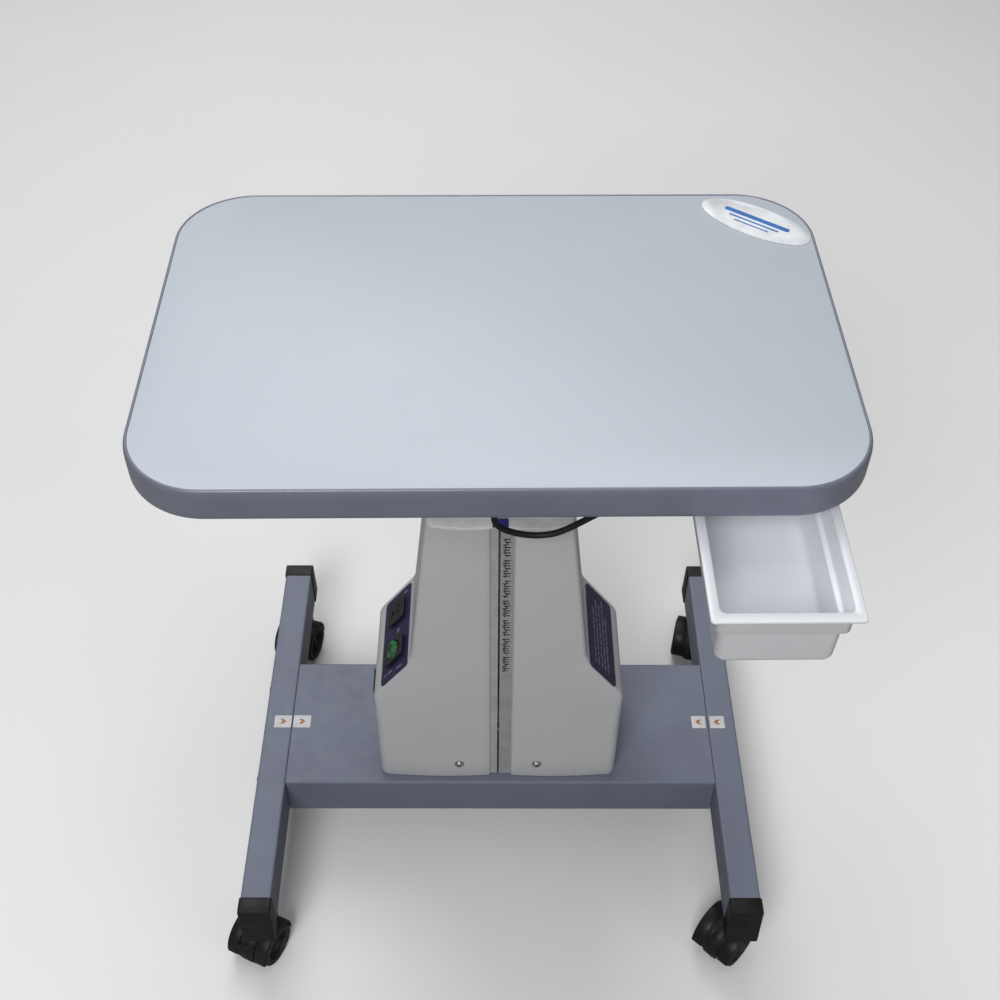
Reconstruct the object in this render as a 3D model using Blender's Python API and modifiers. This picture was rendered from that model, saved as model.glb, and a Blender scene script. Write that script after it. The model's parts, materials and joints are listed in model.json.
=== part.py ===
"""Motorised height-adjustable instrument table: wheeled base, telescopic column, tabletop and drawer.

Metres, +Z up. The origin is on the floor under the middle of the whole table; the front faces -Y.
Pieces are drawn about the middle of the base, and one empty then carries them all to the origin.
"""

import math

import bmesh
import bpy
from mathutils import Matrix, Vector

# ---------------------------------------------------------------- driving dimensions
GAP = 0.0003                      # clearance between neighbouring pieces

# Rolling base
RAIL_BOTTOM = 0.064               # castor height
RAIL_WIDTH = 0.033
RAIL_HEIGHT = 0.056
RAIL_WALL = 0.0015
RAIL_X = 0.2662                   # rail centre line
RAIL_HALF_LENGTH = 0.2275         # tube only, without its caps
CAP_LENGTH = 0.0240               # at the foot of its raked face
CAP_RAKE = 0.006                  # how far the face leans back at the top
CAP_PROUD = 0.0013                # how far a cap stands out past the tube
CAP_PLUG_LENGTH = 0.007
CHANNEL_HALF_DEPTH = 0.085
CHANNEL_HEIGHT = 0.058
CHANNEL_WALL = 0.002
BOLT_Y = 0.064
BOLT_DROP = 0.028                 # bolt axis below the rail top

# Castors
WHEEL_RADIUS = 0.025
WHEEL_WIDTH = 0.0195
WHEEL_INNER_X = 0.0065            # inner face of each wheel from the castor's middle
CASTOR_TRAIL = 0.017
CASTOR_Y = 0.212
STEM_RADIUS = 0.005
CASTOR_TURN = {                   # swivel angle of each castor, degrees about +Z
    "front_left": -25.0,
    "front_right": -42.0,
    "rear_left": -17.0,
    "rear_right": -14.0,
}

# Column, drive and shroud
COLUMN_X = -0.003                 # the column stands a little left of the base's middle
COLUMN_Y = -0.008                 # and a little in front of it
OUTER_TUBE = (0.080, 0.056)
OUTER_TUBE_WALL = 0.003
OUTER_TUBE_TOP = 0.500
INNER_TUBE = (0.066, 0.042)
INNER_TUBE_WALL = 0.0025
INNER_TUBE_BOTTOM = 0.300
SCREW_RADIUS = 0.008
SCREW_TOP = 0.455
WORM_WHEEL_RADIUS = 0.020
WORM_WHEEL_TEETH = 20
WORM_RADIUS = 0.0065
GEARBOX_HALF = (0.048, 0.045)
GEARBOX_HEIGHT = 0.050
GEAR_Z = 0.148                    # height of the worm wheel's middle
MOTOR_RADIUS = 0.0245
MOTOR_LENGTH = 0.070
COVER_SIZE = (0.110, 0.064)       # sleeve that hides the inner tube
COVER_WALL = 0.0015
COVER_BOTTOM = 0.385

SHROUD_HEIGHT = 0.410
SHROUD_WALL = 0.003
SHROUD_BASE_HALF_WIDTH = 0.136
SHROUD_WING_HEIGHT = 0.148        # top of the wings' upright sides
SHROUD_NECK_HEIGHT = 0.209        # where the sloped wing tops meet the neck
SHROUD_NECK_HALF_WIDTH = 0.0931
SHROUD_TOP_HALF_WIDTH = 0.0715
SHROUD_BASE_HALF_DEPTH = 0.066
SHROUD_TOP_HALF_DEPTH = 0.046
SHROUD_BULGE = 0.004              # how far each front lobe bows out
SHROUD_CORNER = 0.012
SHROUD_OPENING = (0.116, 0.070)
GROOVE_LEFT = 0.009               # groove on either side of the seam
GROOVE_RIGHT = 0.015
GROOVE_DEPTH = 0.003

# Tabletop
TOP_WIDTH = 0.600
TOP_DEPTH = 0.400
TOP_CORNER = 0.070
TOP_THICKNESS = 0.032
TOP_HEIGHT = 0.730                # top surface above the floor, as modelled
TOP_X = -0.0063                   # the board sits slightly left of the base's middle
TOP_TURN = 0.64                   # and is turned this many degrees on the column
BAND_WIDTH = 0.005
BADGE_LENGTH = 0.113
BADGE_WIDTH = 0.046
BADGE_PLACE = (0.2465, 0.152)
BADGE_TURN = -36.0

# Drawer
DRAWER_X = 0.2124                 # middle of the tray, from the tabletop's middle
DRAWER_FRONT = -0.2988
DRAWER_LENGTH = 0.280
DRAWER_WIDTH = 0.117
DRAWER_DEPTH = 0.067
DRAWER_RIM_Z = 0.692
DRAWER_RIM = 0.0066               # flange width at the sides and the back
DRAWER_GRIP = 0.0015              # the front flange is this much wider
DRAWER_RIM_THICKNESS = 0.0025
DRAWER_WALL = 0.0018

TABLE_MIDDLE = (-0.00636, -0.02282)     # middle of the whole table's outline, from the base's middle

RAIL_TOP = RAIL_BOTTOM + RAIL_HEIGHT
RAIL_INNER_X = RAIL_X - RAIL_WIDTH / 2
BOARD_BOTTOM = TOP_HEIGHT - TOP_THICKNESS

SIDES = {"left": -1, "right": 1}
ENDS = {"front": -1, "rear": 1}

# ---------------------------------------------------------------- colours
POWDER_GREY = (0.19, 0.20, 0.28, 1)
CAP_BLACK = (0.012, 0.012, 0.014, 1)
SHROUD_GREY = (0.50, 0.50, 0.50, 1)
BOARD_GREY = (0.55, 0.60, 0.66, 1)
BAND_GREY = (0.17, 0.18, 0.24, 1)
TRAY_WHITE = (0.80, 0.81, 0.84, 1)
PANEL_BLUE = (0.02, 0.02, 0.07, 1)
STEEL = (0.55, 0.55, 0.56, 1)
BRASS = (0.60, 0.45, 0.18, 1)
NYLON = (0.80, 0.79, 0.74, 1)
CAST_ALUMINIUM = (0.45, 0.46, 0.47, 1)
BOARD_GREEN = (0.02, 0.16, 0.06, 1)
COPPER = (0.45, 0.20, 0.08, 1)
SWITCH_GREEN = (0.02, 0.40, 0.08, 1)


# ---------------------------------------------------------------- scene and helpers
def clear_scene():
    for old in list(bpy.data.objects):
        bpy.data.objects.remove(old, do_unlink=True)


def new_collection(name):
    made = bpy.data.collections.new(name)
    bpy.context.scene.collection.children.link(made)
    return made


def add_object(name, mesh, collection):
    made = bpy.data.objects.new(name, mesh)
    collection.objects.link(made)
    if collection == helpers:
        made.display_type = "WIRE"
    return made


def mesh_from(bm, name):
    bmesh.ops.recalc_face_normals(bm, faces=bm.faces)
    if bm.calc_volume(signed=True) < 0:
        bmesh.ops.reverse_faces(bm, faces=bm.faces)
    mesh = bpy.data.meshes.new(name)
    bm.to_mesh(mesh)
    bm.free()
    return mesh


def box_bm(low, high):
    """A box between two corners."""
    bm = bmesh.new()
    bmesh.ops.create_cube(bm, size=1.0)
    size = [b - a for a, b in zip(low, high)]
    middle = [(a + b) / 2 for a, b in zip(low, high)]
    bmesh.ops.scale(bm, vec=size, verts=bm.verts)
    bmesh.ops.translate(bm, vec=middle, verts=bm.verts)
    return bm


def bevel_where(bm, test, width, segments=2):
    """Round the edges whose middle and direction pass the test."""
    chosen = [
        e
        for e in bm.edges
        if test((e.verts[0].co + e.verts[1].co) / 2, (e.verts[1].co - e.verts[0].co).normalized())
    ]
    bmesh.ops.bevel(
        bm, geom=chosen, offset=width, offset_type="OFFSET", segments=segments, profile=0.5,
        affect="EDGES", clamp_overlap=True,
    )
    return bm


def box(name, low, high, bevel=0.0, segments=2, collection=None):
    bm = box_bm(low, high)
    if bevel:
        bevel_where(bm, lambda middle, along: True, bevel, segments)
    return add_object(name, mesh_from(bm, name), collection or helpers)


def centred_box(name, middle, size, bevel=0.0, segments=2, collection=None):
    low = [m - s / 2 for m, s in zip(middle, size)]
    high = [m + s / 2 for m, s in zip(middle, size)]
    return box(name, low, high, bevel, segments, collection)


AXIS_TURN = {
    "z": Matrix.Identity(4),
    "x": Matrix.Rotation(math.pi / 2, 4, "Y"),
    "y": Matrix.Rotation(-math.pi / 2, 4, "X"),
}


def cylinder(name, radius, start, end, axis="z", at=(0, 0), segments=24, top_radius=None):
    """A cylinder or cone along an axis from start to end; at is its place across the axis."""
    bm = bmesh.new()
    bmesh.ops.create_cone(
        bm, cap_ends=True, segments=segments, radius1=radius,
        radius2=radius if top_radius is None else top_radius, depth=end - start,
    )
    bm.transform(Matrix.Translation((0, 0, (start + end) / 2)))
    bm.transform(AXIS_TURN[axis])
    offset = {"z": (at[0], at[1], 0), "x": (0, at[0], at[1]), "y": (at[0], 0, at[1])}[axis]
    bm.transform(Matrix.Translation(offset))
    return add_object(name, mesh_from(bm, name), helpers)


def turned(name, profile, segments=24):
    """A solid of revolution about Z from (radius, z) points that run down the outside."""
    mesh = bpy.data.meshes.new(name)
    points = [(r, 0, z) for r, z in profile]
    mesh.from_pydata(points, [(i, i + 1) for i in range(len(points) - 1)], [])
    made = add_object(name, mesh, helpers)
    screw = made.modifiers.new("turn", "SCREW")
    screw.steps = screw.render_steps = segments
    screw.use_merge_vertices = True
    screw.merge_threshold = 0.00001
    baked(made)
    bm = bmesh.new()
    bm.from_mesh(made.data)
    made.data = mesh_from(bm, name)
    return made


def loft(name, rings):
    """A closed solid through rings of equal point count, capped at both ends."""
    bm = bmesh.new()
    loops = [[bm.verts.new(p) for p in ring] for ring in rings]
    count = len(rings[0])
    for lower, upper in zip(loops, loops[1:]):
        for i in range(count):
            j = (i + 1) % count
            bm.faces.new((lower[i], lower[j], upper[j], upper[i]))
    bm.faces.new(list(reversed(loops[0])))
    bm.faces.new(loops[-1])
    return add_object(name, mesh_from(bm, name), helpers)


def ring_loft(name, rings):
    """A closed frame: the rings run round the object, and the last joins the first."""
    bm = bmesh.new()
    loops = [[bm.verts.new(p) for p in ring] for ring in rings]
    count = len(rings[0])
    for k, lower in enumerate(loops):
        upper = loops[(k + 1) % len(loops)]
        for i in range(count):
            j = (i + 1) % count
            bm.faces.new((lower[i], lower[j], upper[j], upper[i]))
    return add_object(name, mesh_from(bm, name), helpers)


def baked(made):
    """Turn an object's modifiers into its own mesh."""
    bpy.context.view_layer.update()
    graph = bpy.context.evaluated_depsgraph_get()
    mesh = bpy.data.meshes.new_from_object(made.evaluated_get(graph))
    made.modifiers.clear()
    made.data = mesh
    return made


def combine(made, others, operation):
    """Join (UNION) or cut (DIFFERENCE) with helper solids, which are used up."""
    for other in others:
        step = made.modifiers.new(operation.lower(), "BOOLEAN")
        step.operation = operation
        step.solver = "EXACT"
        step.object = other
    baked(made)
    for other in others:
        bpy.data.objects.remove(other, do_unlink=True)
    return made


def join(made, *others):
    return combine(made, others, "UNION")


def cut(made, *others):
    return combine(made, others, "DIFFERENCE")


def material(name, colour, roughness, metallic):
    made = bpy.data.materials.new(name)
    made.use_nodes = True
    shader = made.node_tree.nodes["Principled BSDF"]
    shader.inputs["Base Color"].default_value = colour
    shader.inputs["Roughness"].default_value = roughness
    shader.inputs["Metallic"].default_value = metallic
    made.diffuse_color = colour
    return made


def finish_part(made, name, colour, roughness=0.5, metallic=0.0, round_piece=False):
    """Name a piece, move it to the model's collection and give it its own material."""
    made.name = name
    made.data.name = name
    made.display_type = "TEXTURED"
    for user in list(made.users_collection):
        user.objects.unlink(made)
    parts.objects.link(made)
    made.data.materials.clear()
    made.data.materials.append(material(name, colour, roughness, metallic))
    if round_piece:
        made.data.shade_smooth()
        made.data.set_sharp_from_angle(angle=math.radians(35))
    return made


def set_origin(made, point):
    """Put the object's origin on a joint's axis without moving its shape."""
    made.data.transform(Matrix.Translation(-Vector(point)))
    made.location = point
    return made


def arc(centre, radius, start, end, steps):
    """Points of an arc, angles in degrees, both ends included."""
    return [
        (
            centre[0] + radius * math.cos(math.radians(start + (end - start) * i / steps)),
            centre[1] + radius * math.sin(math.radians(start + (end - start) * i / steps)),
        )
        for i in range(steps + 1)
    ]


def rounded_rectangle(half_x, half_y, radius, steps=4, middle=(0, 0)):
    """Outline of a rectangle with round corners, anticlockwise from +X."""
    points = []
    for quarter, (sx, sy) in enumerate(((1, 1), (-1, 1), (-1, -1), (1, -1))):
        corner = (middle[0] + sx * (half_x - radius), middle[1] + sy * (half_y - radius))
        points += arc(corner, radius, 90 * quarter, 90 * quarter + 90, steps)
    return points


def at_height(outline, z):
    return [(x, y, z) for x, y in outline]


def rect_tube(name, size, wall, low, high, middle, radius=0.004):
    """An upright rectangular tube with round corners, open at both ends."""
    outer = rounded_rectangle(size[0] / 2, size[1] / 2, radius, 3, middle)
    inner = rounded_rectangle(size[0] / 2 - wall, size[1] / 2 - wall, max(radius - wall, 0.001), 3, middle)
    return ring_loft(
        name, [at_height(outer, low), at_height(outer, high), at_height(inner, high), at_height(inner, low)]
    )


# ---------------------------------------------------------------- rolling base
def make_rail(side):
    sign = SIDES[side]
    half = (RAIL_WIDTH / 2, RAIL_HEIGHT / 2)
    outer = rounded_rectangle(half[0], half[1], 0.0025, 3)
    inner = rounded_rectangle(half[0] - RAIL_WALL, half[1] - RAIL_WALL, 0.001, 3)
    middle_z = RAIL_BOTTOM + half[1]

    def along(outline, y):
        return [(sign * RAIL_X + x, y, middle_z + z) for x, z in outline]

    ends = (-RAIL_HALF_LENGTH, RAIL_HALF_LENGTH)
    rail = ring_loft(
        "rail", [along(outer, ends[0]), along(outer, ends[1]), along(inner, ends[1]), along(inner, ends[0])]
    )
    cutters = []
    for end_sign in ENDS.values():
        cutters.append(
            cylinder("bolt_hole", 0.0044, sign * RAIL_X - 0.03, sign * RAIL_X + 0.03, "x",
                     (end_sign * BOLT_Y, RAIL_TOP - BOLT_DROP), 18)
        )
        cutters.append(
            cylinder("stem_hole", STEM_RADIUS + 0.0005, RAIL_BOTTOM - 0.005, RAIL_BOTTOM + 0.005, "z",
                     (sign * RAIL_X, end_sign * CASTOR_Y), 24)
        )
    cut(rail, *cutters)
    finish_part(rail, f"rail_{side}", POWDER_GREY, 0.55)


def make_rail_cap(end, side):
    """Moulded cap with a short plug that grips the inside of the tube."""
    x = SIDES[side] * RAIL_X
    outward = ENDS[end]
    near = RAIL_HALF_LENGTH + GAP
    far = RAIL_HALF_LENGTH + CAP_LENGTH
    half = RAIL_WIDTH / 2 + CAP_PROUD
    low_z = RAIL_BOTTOM - CAP_PROUD / 2
    high_z = RAIL_TOP + CAP_PROUD / 2
    ends = sorted((outward * near, outward * far))
    bm = box_bm((x - half, ends[0], low_z), (x + half, ends[1], high_z))
    for vert in bm.verts:
        if vert.co.z > high_z - 0.001 and abs(vert.co.y) > far - 0.001:
            vert.co.y = outward * (far - CAP_RAKE)
    bevel_where(bm, lambda middle, along: abs(middle.y) > far - CAP_RAKE - 0.001, 0.0012, 2)
    cap = add_object("cap", mesh_from(bm, "cap"), helpers)
    inside = RAIL_WIDTH / 2 - RAIL_WALL - GAP
    plug_ends = sorted((outward * (RAIL_HALF_LENGTH - CAP_PLUG_LENGTH), outward * (near + 0.002)))
    plug = box(
        "plug",
        (x - inside, plug_ends[0], RAIL_BOTTOM + RAIL_WALL + GAP),
        (x + inside, plug_ends[1], RAIL_TOP - RAIL_WALL - GAP),
        0.001, 1,
    )
    join(cap, plug)
    finish_part(cap, f"rail_cap_{end}_{side}", CAP_BLACK, 0.5)


def make_base_channel():
    """Folded steel channel between the rails, with end flanges, weld nuts and shroud tabs."""
    end_x = RAIL_INNER_X - GAP
    low_z = RAIL_TOP - CHANNEL_HEIGHT
    bm = box_bm((-end_x, -CHANNEL_HALF_DEPTH, low_z), (end_x, CHANNEL_HALF_DEPTH, RAIL_TOP))
    bevel_where(
        bm,
        lambda middle, along: abs(along.x) > 0.9 and abs(middle.z - RAIL_TOP) < 0.001,
        0.003, 3,
    )
    channel = add_object("channel", mesh_from(bm, "channel"), helpers)
    hollow = box(
        "hollow",
        (-end_x + CHANNEL_WALL, -CHANNEL_HALF_DEPTH + CHANNEL_WALL, low_z - 0.01),
        (end_x - CHANNEL_WALL, CHANNEL_HALF_DEPTH - CHANNEL_WALL, RAIL_TOP - CHANNEL_WALL),
    )
    cut(channel, hollow)
    additions = []
    for sign in SIDES.values():
        inner_face = sign * (end_x - CHANNEL_WALL)
        for end_sign in ENDS.values():
            ends = sorted((inner_face + sign * 0.001, inner_face - sign * 0.007))
            additions.append(
                cylinder("weld_nut", 0.0085, ends[0], ends[1], "x",
                         (end_sign * BOLT_Y, RAIL_TOP - BOLT_DROP), 6)
            )
    for end_sign in ENDS.values():
        wall = shroud_front(0) if end_sign < 0 else shroud_back(0)
        face = wall - end_sign * (SHROUD_WALL + 0.0075)
        ys = sorted((face, face - end_sign * 0.002))
        additions.append(
            box("tab", (COLUMN_X - 0.060, ys[0], RAIL_TOP - 0.001), (COLUMN_X + 0.060, ys[1], RAIL_TOP + 0.034))
        )
    join(channel, *additions)
    holes = []
    for sign in SIDES.values():
        for end_sign in ENDS.values():
            ends = sorted((sign * (end_x + 0.01), sign * (end_x - 0.03)))
            holes.append(
                cylinder("bolt_hole", 0.0044, ends[0], ends[1], "x",
                         (end_sign * BOLT_Y, RAIL_TOP - BOLT_DROP), 18)
            )
            ys = sorted((end_sign * 0.04 + COLUMN_Y, end_sign * 0.09))
            holes.append(cylinder("tab_hole", 0.0026, ys[0], ys[1], "y",
                                  (COLUMN_X + sign * SHROUD_SCREW_X, SHROUD_SCREW_Z), 12))
    cut(channel, *holes)
    finish_part(channel, "base_channel", POWDER_GREY, 0.55)


def make_rail_bolt(end, side):
    """Domed screw through the rail into the weld nut on the channel's end."""
    sign = SIDES[side]
    face = sign * (RAIL_X + RAIL_WIDTH / 2 + GAP)
    at = (ENDS[end] * BOLT_Y, RAIL_TOP - BOLT_DROP)
    profile = [(0.0, 0.0052), (0.0035, 0.0048), (0.0060, 0.0034), (0.0075, 0.0012), (0.0075, 0.0),
               (0.0040, 0.0), (0.0040, -0.0435), (0.0, -0.0435)]
    bolt = turned("bolt", profile, 20)
    bolt.data.transform(Matrix.Rotation(sign * math.pi / 2, 4, "Y"))
    bolt.data.transform(Matrix.Translation((face, at[0], at[1])))
    finish_part(bolt, f"rail_bolt_{end}_{side}", CAP_BLACK, 0.4, 0.0, True)


# ---------------------------------------------------------------- castors
def make_castor_body():
    """Hooded body with its swivel stem and axle, axle along X, swivel axis on Z."""
    hub_y = -CASTOR_TRAIL
    web = cylinder("web", 0.0280, -0.0045, 0.0045, "x", (hub_y, WHEEL_RADIUS), 28)
    lower = box("below", (-0.03, hub_y - 0.04, -0.02), (0.03, hub_y + 0.04, 0.012))
    cut(web, lower)
    hood_outer = cylinder("hood", 0.0290, -0.0245, 0.0245, "x", (hub_y, WHEEL_RADIUS), 28)
    hood_inner = cylinder("hood_inner", 0.0265, -0.03, 0.03, "x", (hub_y, WHEEL_RADIUS), 28)
    below = box("hood_below", (-0.04, hub_y - 0.05, -0.02), (0.04, hub_y + 0.05, WHEEL_RADIUS - 0.002))
    cut(hood_outer, hood_inner, below)
    boss = cylinder("boss", 0.0125, 0.030, 0.0600, "z", (0, 0), 24)
    inside = cylinder("wheel_room", 0.0265, 0.0060, 0.03, "x", (hub_y, WHEEL_RADIUS), 28)
    inside_two = cylinder("wheel_room_two", 0.0265, -0.03, -0.0060, "x", (hub_y, WHEEL_RADIUS), 28)
    cut(boss, inside, inside_two)
    stem = cylinder("stem", STEM_RADIUS, 0.058, 0.090, "z", (0, 0), 24)
    axle = cylinder("axle", 0.0035, -0.0235, 0.0235, "x", (hub_y, WHEEL_RADIUS), 20)
    join(web, hood_outer, boss, stem, axle)
    return web


def make_wheel():
    """One wheel of the pair, turned about Z and then laid along X; inner face at x = 0."""
    width = WHEEL_WIDTH
    tread = WHEEL_RADIUS
    profile = [
        (0.0040, width * 0.98), (0.0080, width * 0.98), (0.0085, width * 0.70), (0.0170, width * 0.70),
        (0.0185, width), (tread - 0.0020, width), (tread, width - 0.0025), (tread, 0.0025),
        (tread - 0.0020, 0.0), (0.0040, 0.0), (0.0040, width * 0.98),
    ]
    wheel = turned("wheel", profile, 24)
    wheel.data.transform(Matrix.Rotation(math.pi / 2, 4, "Y"))
    return wheel


def make_castors():
    body_mesh = make_castor_body()
    wheel_mesh = make_wheel()
    for end, end_sign in ENDS.items():
        for side, sign in SIDES.items():
            place = (sign * RAIL_X, end_sign * CASTOR_Y, 0)
            turn = Matrix.Rotation(math.radians(CASTOR_TURN[f"{end}_{side}"]), 4, "Z")
            swivel = bpy.data.objects.new(f"swivel_axis_{end}_{side}", None)
            swivel.matrix_world = Matrix.Translation(place) @ turn
            helpers.objects.link(swivel)
            body = add_object("body", body_mesh.data.copy(), helpers)
            finish_part(body, f"castor_body_{end}_{side}", CAP_BLACK, 0.45, 0.0, True)
            body.parent = swivel
            for wheel_side, wheel_sign in (("a", -1), ("b", 1)):
                wheel = add_object("wheel", wheel_mesh.data.copy(), helpers)
                if wheel_sign < 0:
                    wheel.data.transform(Matrix.Rotation(math.pi, 4, "Z"))
                wheel.data.transform(Matrix.Translation((wheel_sign * WHEEL_INNER_X, 0, 0)))
                finish_part(wheel, f"castor_wheel_{end}_{side}_{wheel_side}", CAP_BLACK, 0.6, 0.0, True)
                wheel.parent = swivel
                wheel.location = (0, -CASTOR_TRAIL, WHEEL_RADIUS)
    bpy.data.objects.remove(body_mesh, do_unlink=True)
    bpy.data.objects.remove(wheel_mesh, do_unlink=True)


# ---------------------------------------------------------------- shroud
def lerp(a, b, t):
    return a + (b - a) * t


def shroud_half_width(height):
    """Half width of the shroud above the base plate: upright wings, sloped wing tops, tapered neck."""
    if height <= SHROUD_WING_HEIGHT:
        return SHROUD_BASE_HALF_WIDTH
    if height <= SHROUD_NECK_HEIGHT:
        t = (height - SHROUD_WING_HEIGHT) / (SHROUD_NECK_HEIGHT - SHROUD_WING_HEIGHT)
        return lerp(SHROUD_BASE_HALF_WIDTH, SHROUD_NECK_HALF_WIDTH, t)
    t = (height - SHROUD_NECK_HEIGHT) / (SHROUD_HEIGHT - SHROUD_NECK_HEIGHT)
    return lerp(SHROUD_NECK_HALF_WIDTH, SHROUD_TOP_HALF_WIDTH, t)


def shroud_half_depth(height):
    return lerp(SHROUD_BASE_HALF_DEPTH, SHROUD_TOP_HALF_DEPTH, height / SHROUD_HEIGHT)


def shroud_front(height):
    return COLUMN_Y - shroud_half_depth(height)


def shroud_back(height):
    return COLUMN_Y + shroud_half_depth(height)


SHROUD_SCREW_X = 0.0444
SHROUD_SCREW_Z = RAIL_TOP + 0.0265


def shroud_outline(height, inset, groove, steps=4, lobe_steps=6):
    """Right half of the section, from the seam at the front round to the seam at the back.

    inset moves the whole outline inwards; groove is (width, depth) of the recess at the seam.
    """
    half_width = shroud_half_width(height) - inset
    half_depth = shroud_half_depth(height) - inset
    corner = max(SHROUD_CORNER - inset, 0.004)
    groove_width, groove_depth = groove
    points = [(GAP / 2, -half_depth - SHROUD_BULGE * 0.35 + groove_depth)]
    points.append((groove_width, -half_depth - SHROUD_BULGE * 0.35 + groove_depth))
    start, end = groove_width + 0.0012, half_width - corner
    for i in range(lobe_steps + 1):
        t = i / lobe_steps
        bow = SHROUD_BULGE * (0.35 + 1.9 * t * (1 - t) - 0.35 * t * t)
        points.append((lerp(start, end, t), -half_depth - bow))
    points += arc((half_width - corner, -half_depth + corner), corner, -90, 0, steps)[1:]
    points += arc((half_width - corner, half_depth - corner), corner, 0, 90, steps)
    points.append((GAP / 2, half_depth))
    return points


def shroud_levels():
    """Heights above the plate and extra insets of the sections, round at the foot, wings and top."""
    levels = [(GAP, 0.0)]
    levels += [(SHROUD_WING_HEIGHT - 0.006, 0.0), (SHROUD_WING_HEIGHT, 0.0008), (SHROUD_WING_HEIGHT + 0.004, 0.0006)]
    levels += [(SHROUD_NECK_HEIGHT, 0.0), (SHROUD_HEIGHT - 0.004, 0.0)]
    levels += [(SHROUD_HEIGHT - 0.0012, 0.0012), (SHROUD_HEIGHT, 0.0040)]
    return levels


def shroud_solid(name, side, inset=0.0, groove_depth=GROOVE_DEPTH):
    sign = SIDES[side]
    groove_width = GROOVE_LEFT if side == "left" else GROOVE_RIGHT
    rings = []
    for height, extra in shroud_levels():
        outline = shroud_outline(height, inset + extra, (groove_width, groove_depth))
        ring = [(sign * x, COLUMN_Y + y, RAIL_TOP + height) for x, y in outline]
        rings.append(ring if sign > 0 else list(reversed(ring)))
    return loft(name, rings)


def shroud_core():
    """The space inside both halves, a little longer than the shroud at the foot."""
    rings = []
    heights = [-0.010, SHROUD_WING_HEIGHT - 0.002, SHROUD_NECK_HEIGHT - 0.003, SHROUD_HEIGHT - SHROUD_WALL]
    for height in heights:
        level = max(height, 0.0)
        half_x = shroud_half_width(level) - SHROUD_WALL
        half_y = shroud_half_depth(level) - SHROUD_WALL
        outline = rounded_rectangle(half_x, half_y, SHROUD_CORNER - SHROUD_WALL, 4, (0, COLUMN_Y))
        rings.append(at_height(outline, RAIL_TOP + height))
    return loft("core", rings)


# The sloped wing tops: a frame on the slope with u up the slope, v along +Y and n outwards.
SLOPE_RISE = SHROUD_NECK_HEIGHT - SHROUD_WING_HEIGHT
SLOPE_RUN = SHROUD_BASE_HALF_WIDTH - SHROUD_NECK_HALF_WIDTH
SLOPE_LENGTH = math.hypot(SLOPE_RISE, SLOPE_RUN)


def slope_frame(side, up, along_y):
    """Matrix from local (up the slope, along Y, outwards) to the world."""
    sign = SIDES[side]
    up_slope = Vector((-sign * SLOPE_RUN, 0, SLOPE_RISE)).normalized()
    outwards = Vector((sign * SLOPE_RISE, 0, SLOPE_RUN)).normalized()
    along = Vector((0, 1, 0))
    foot = Vector((sign * SHROUD_BASE_HALF_WIDTH, 0, RAIL_TOP + SHROUD_WING_HEIGHT))
    frame = Matrix((up_slope, along, outwards)).transposed().to_4x4()
    frame.translation = foot + up_slope * up + along * along_y
    return frame


def place(made, frame):
    made.data.transform(frame)
    if frame.determinant() < 0:
        made.data.flip_normals()
    return made


PANEL_UP = 0.0425
PANEL_Y = -0.009
PANEL_SIZE = (0.052, 0.114)
SOCKET_UP, SOCKET_Y = 0.0440, 0.0200
SOCKET_SIZE = (0.030, 0.030)
SWITCH_UP, SWITCH_Y = 0.0435, -0.0335
SWITCH_SIZE = (0.034, 0.028)
ROCKER_RADIUS = 0.0105
ROCKER_TILT = math.radians(8)


def slope_box(name, side, up, along_y, size, low, high, bevel=0.0):
    made = box(name, (-size[0] / 2, -size[1] / 2, low), (size[0] / 2, size[1] / 2, high), bevel, 1)
    return place(made, slope_frame(side, up, along_y))


def slope_cylinder(name, side, up, along_y, radius, low, high, segments=28):
    made = cylinder(name, radius, low, high, "z", (0, 0), segments)
    return place(made, slope_frame(side, up, along_y))


def make_shroud(side):
    sign = SIDES[side]
    shell = shroud_solid("shroud", side)
    opening = centred_box(
        "opening", (0, COLUMN_Y, RAIL_TOP + SHROUD_HEIGHT), (SHROUD_OPENING[0], SHROUD_OPENING[1], 0.03)
    )
    cutters = [shroud_core(), opening]
    notch_x = sorted((-sign * 0.005, sign * (GROOVE_LEFT if side == "left" else GROOVE_RIGHT)))
    cutters.append(
        box("notch", (notch_x[0], COLUMN_Y - 0.08, RAIL_TOP + SHROUD_HEIGHT - 0.0045),
            (notch_x[1], COLUMN_Y, RAIL_TOP + SHROUD_HEIGHT + 0.01))
    )
    for end_sign in ENDS.values():
        ys = sorted((COLUMN_Y + end_sign * 0.03, COLUMN_Y + end_sign * 0.09))
        cutters.append(cylinder("screw_hole", 0.0026, ys[0], ys[1], "y",
                                (sign * SHROUD_SCREW_X, SHROUD_SCREW_Z), 12))
    if side == "left":
        cutters.append(slope_box("socket_hole", side, SOCKET_UP, SOCKET_Y,
                                 [s - 0.0034 for s in SOCKET_SIZE], -0.010, 0.010))
        cutters.append(slope_box("switch_hole", side, SWITCH_UP, SWITCH_Y,
                                 [s - 0.0034 for s in SWITCH_SIZE], -0.010, 0.010))
        cutters.append(inlet_hole())
    cut(shell, *cutters)
    finish_part(shell, f"shroud_{side}", SHROUD_GREY, 0.45)


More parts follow.
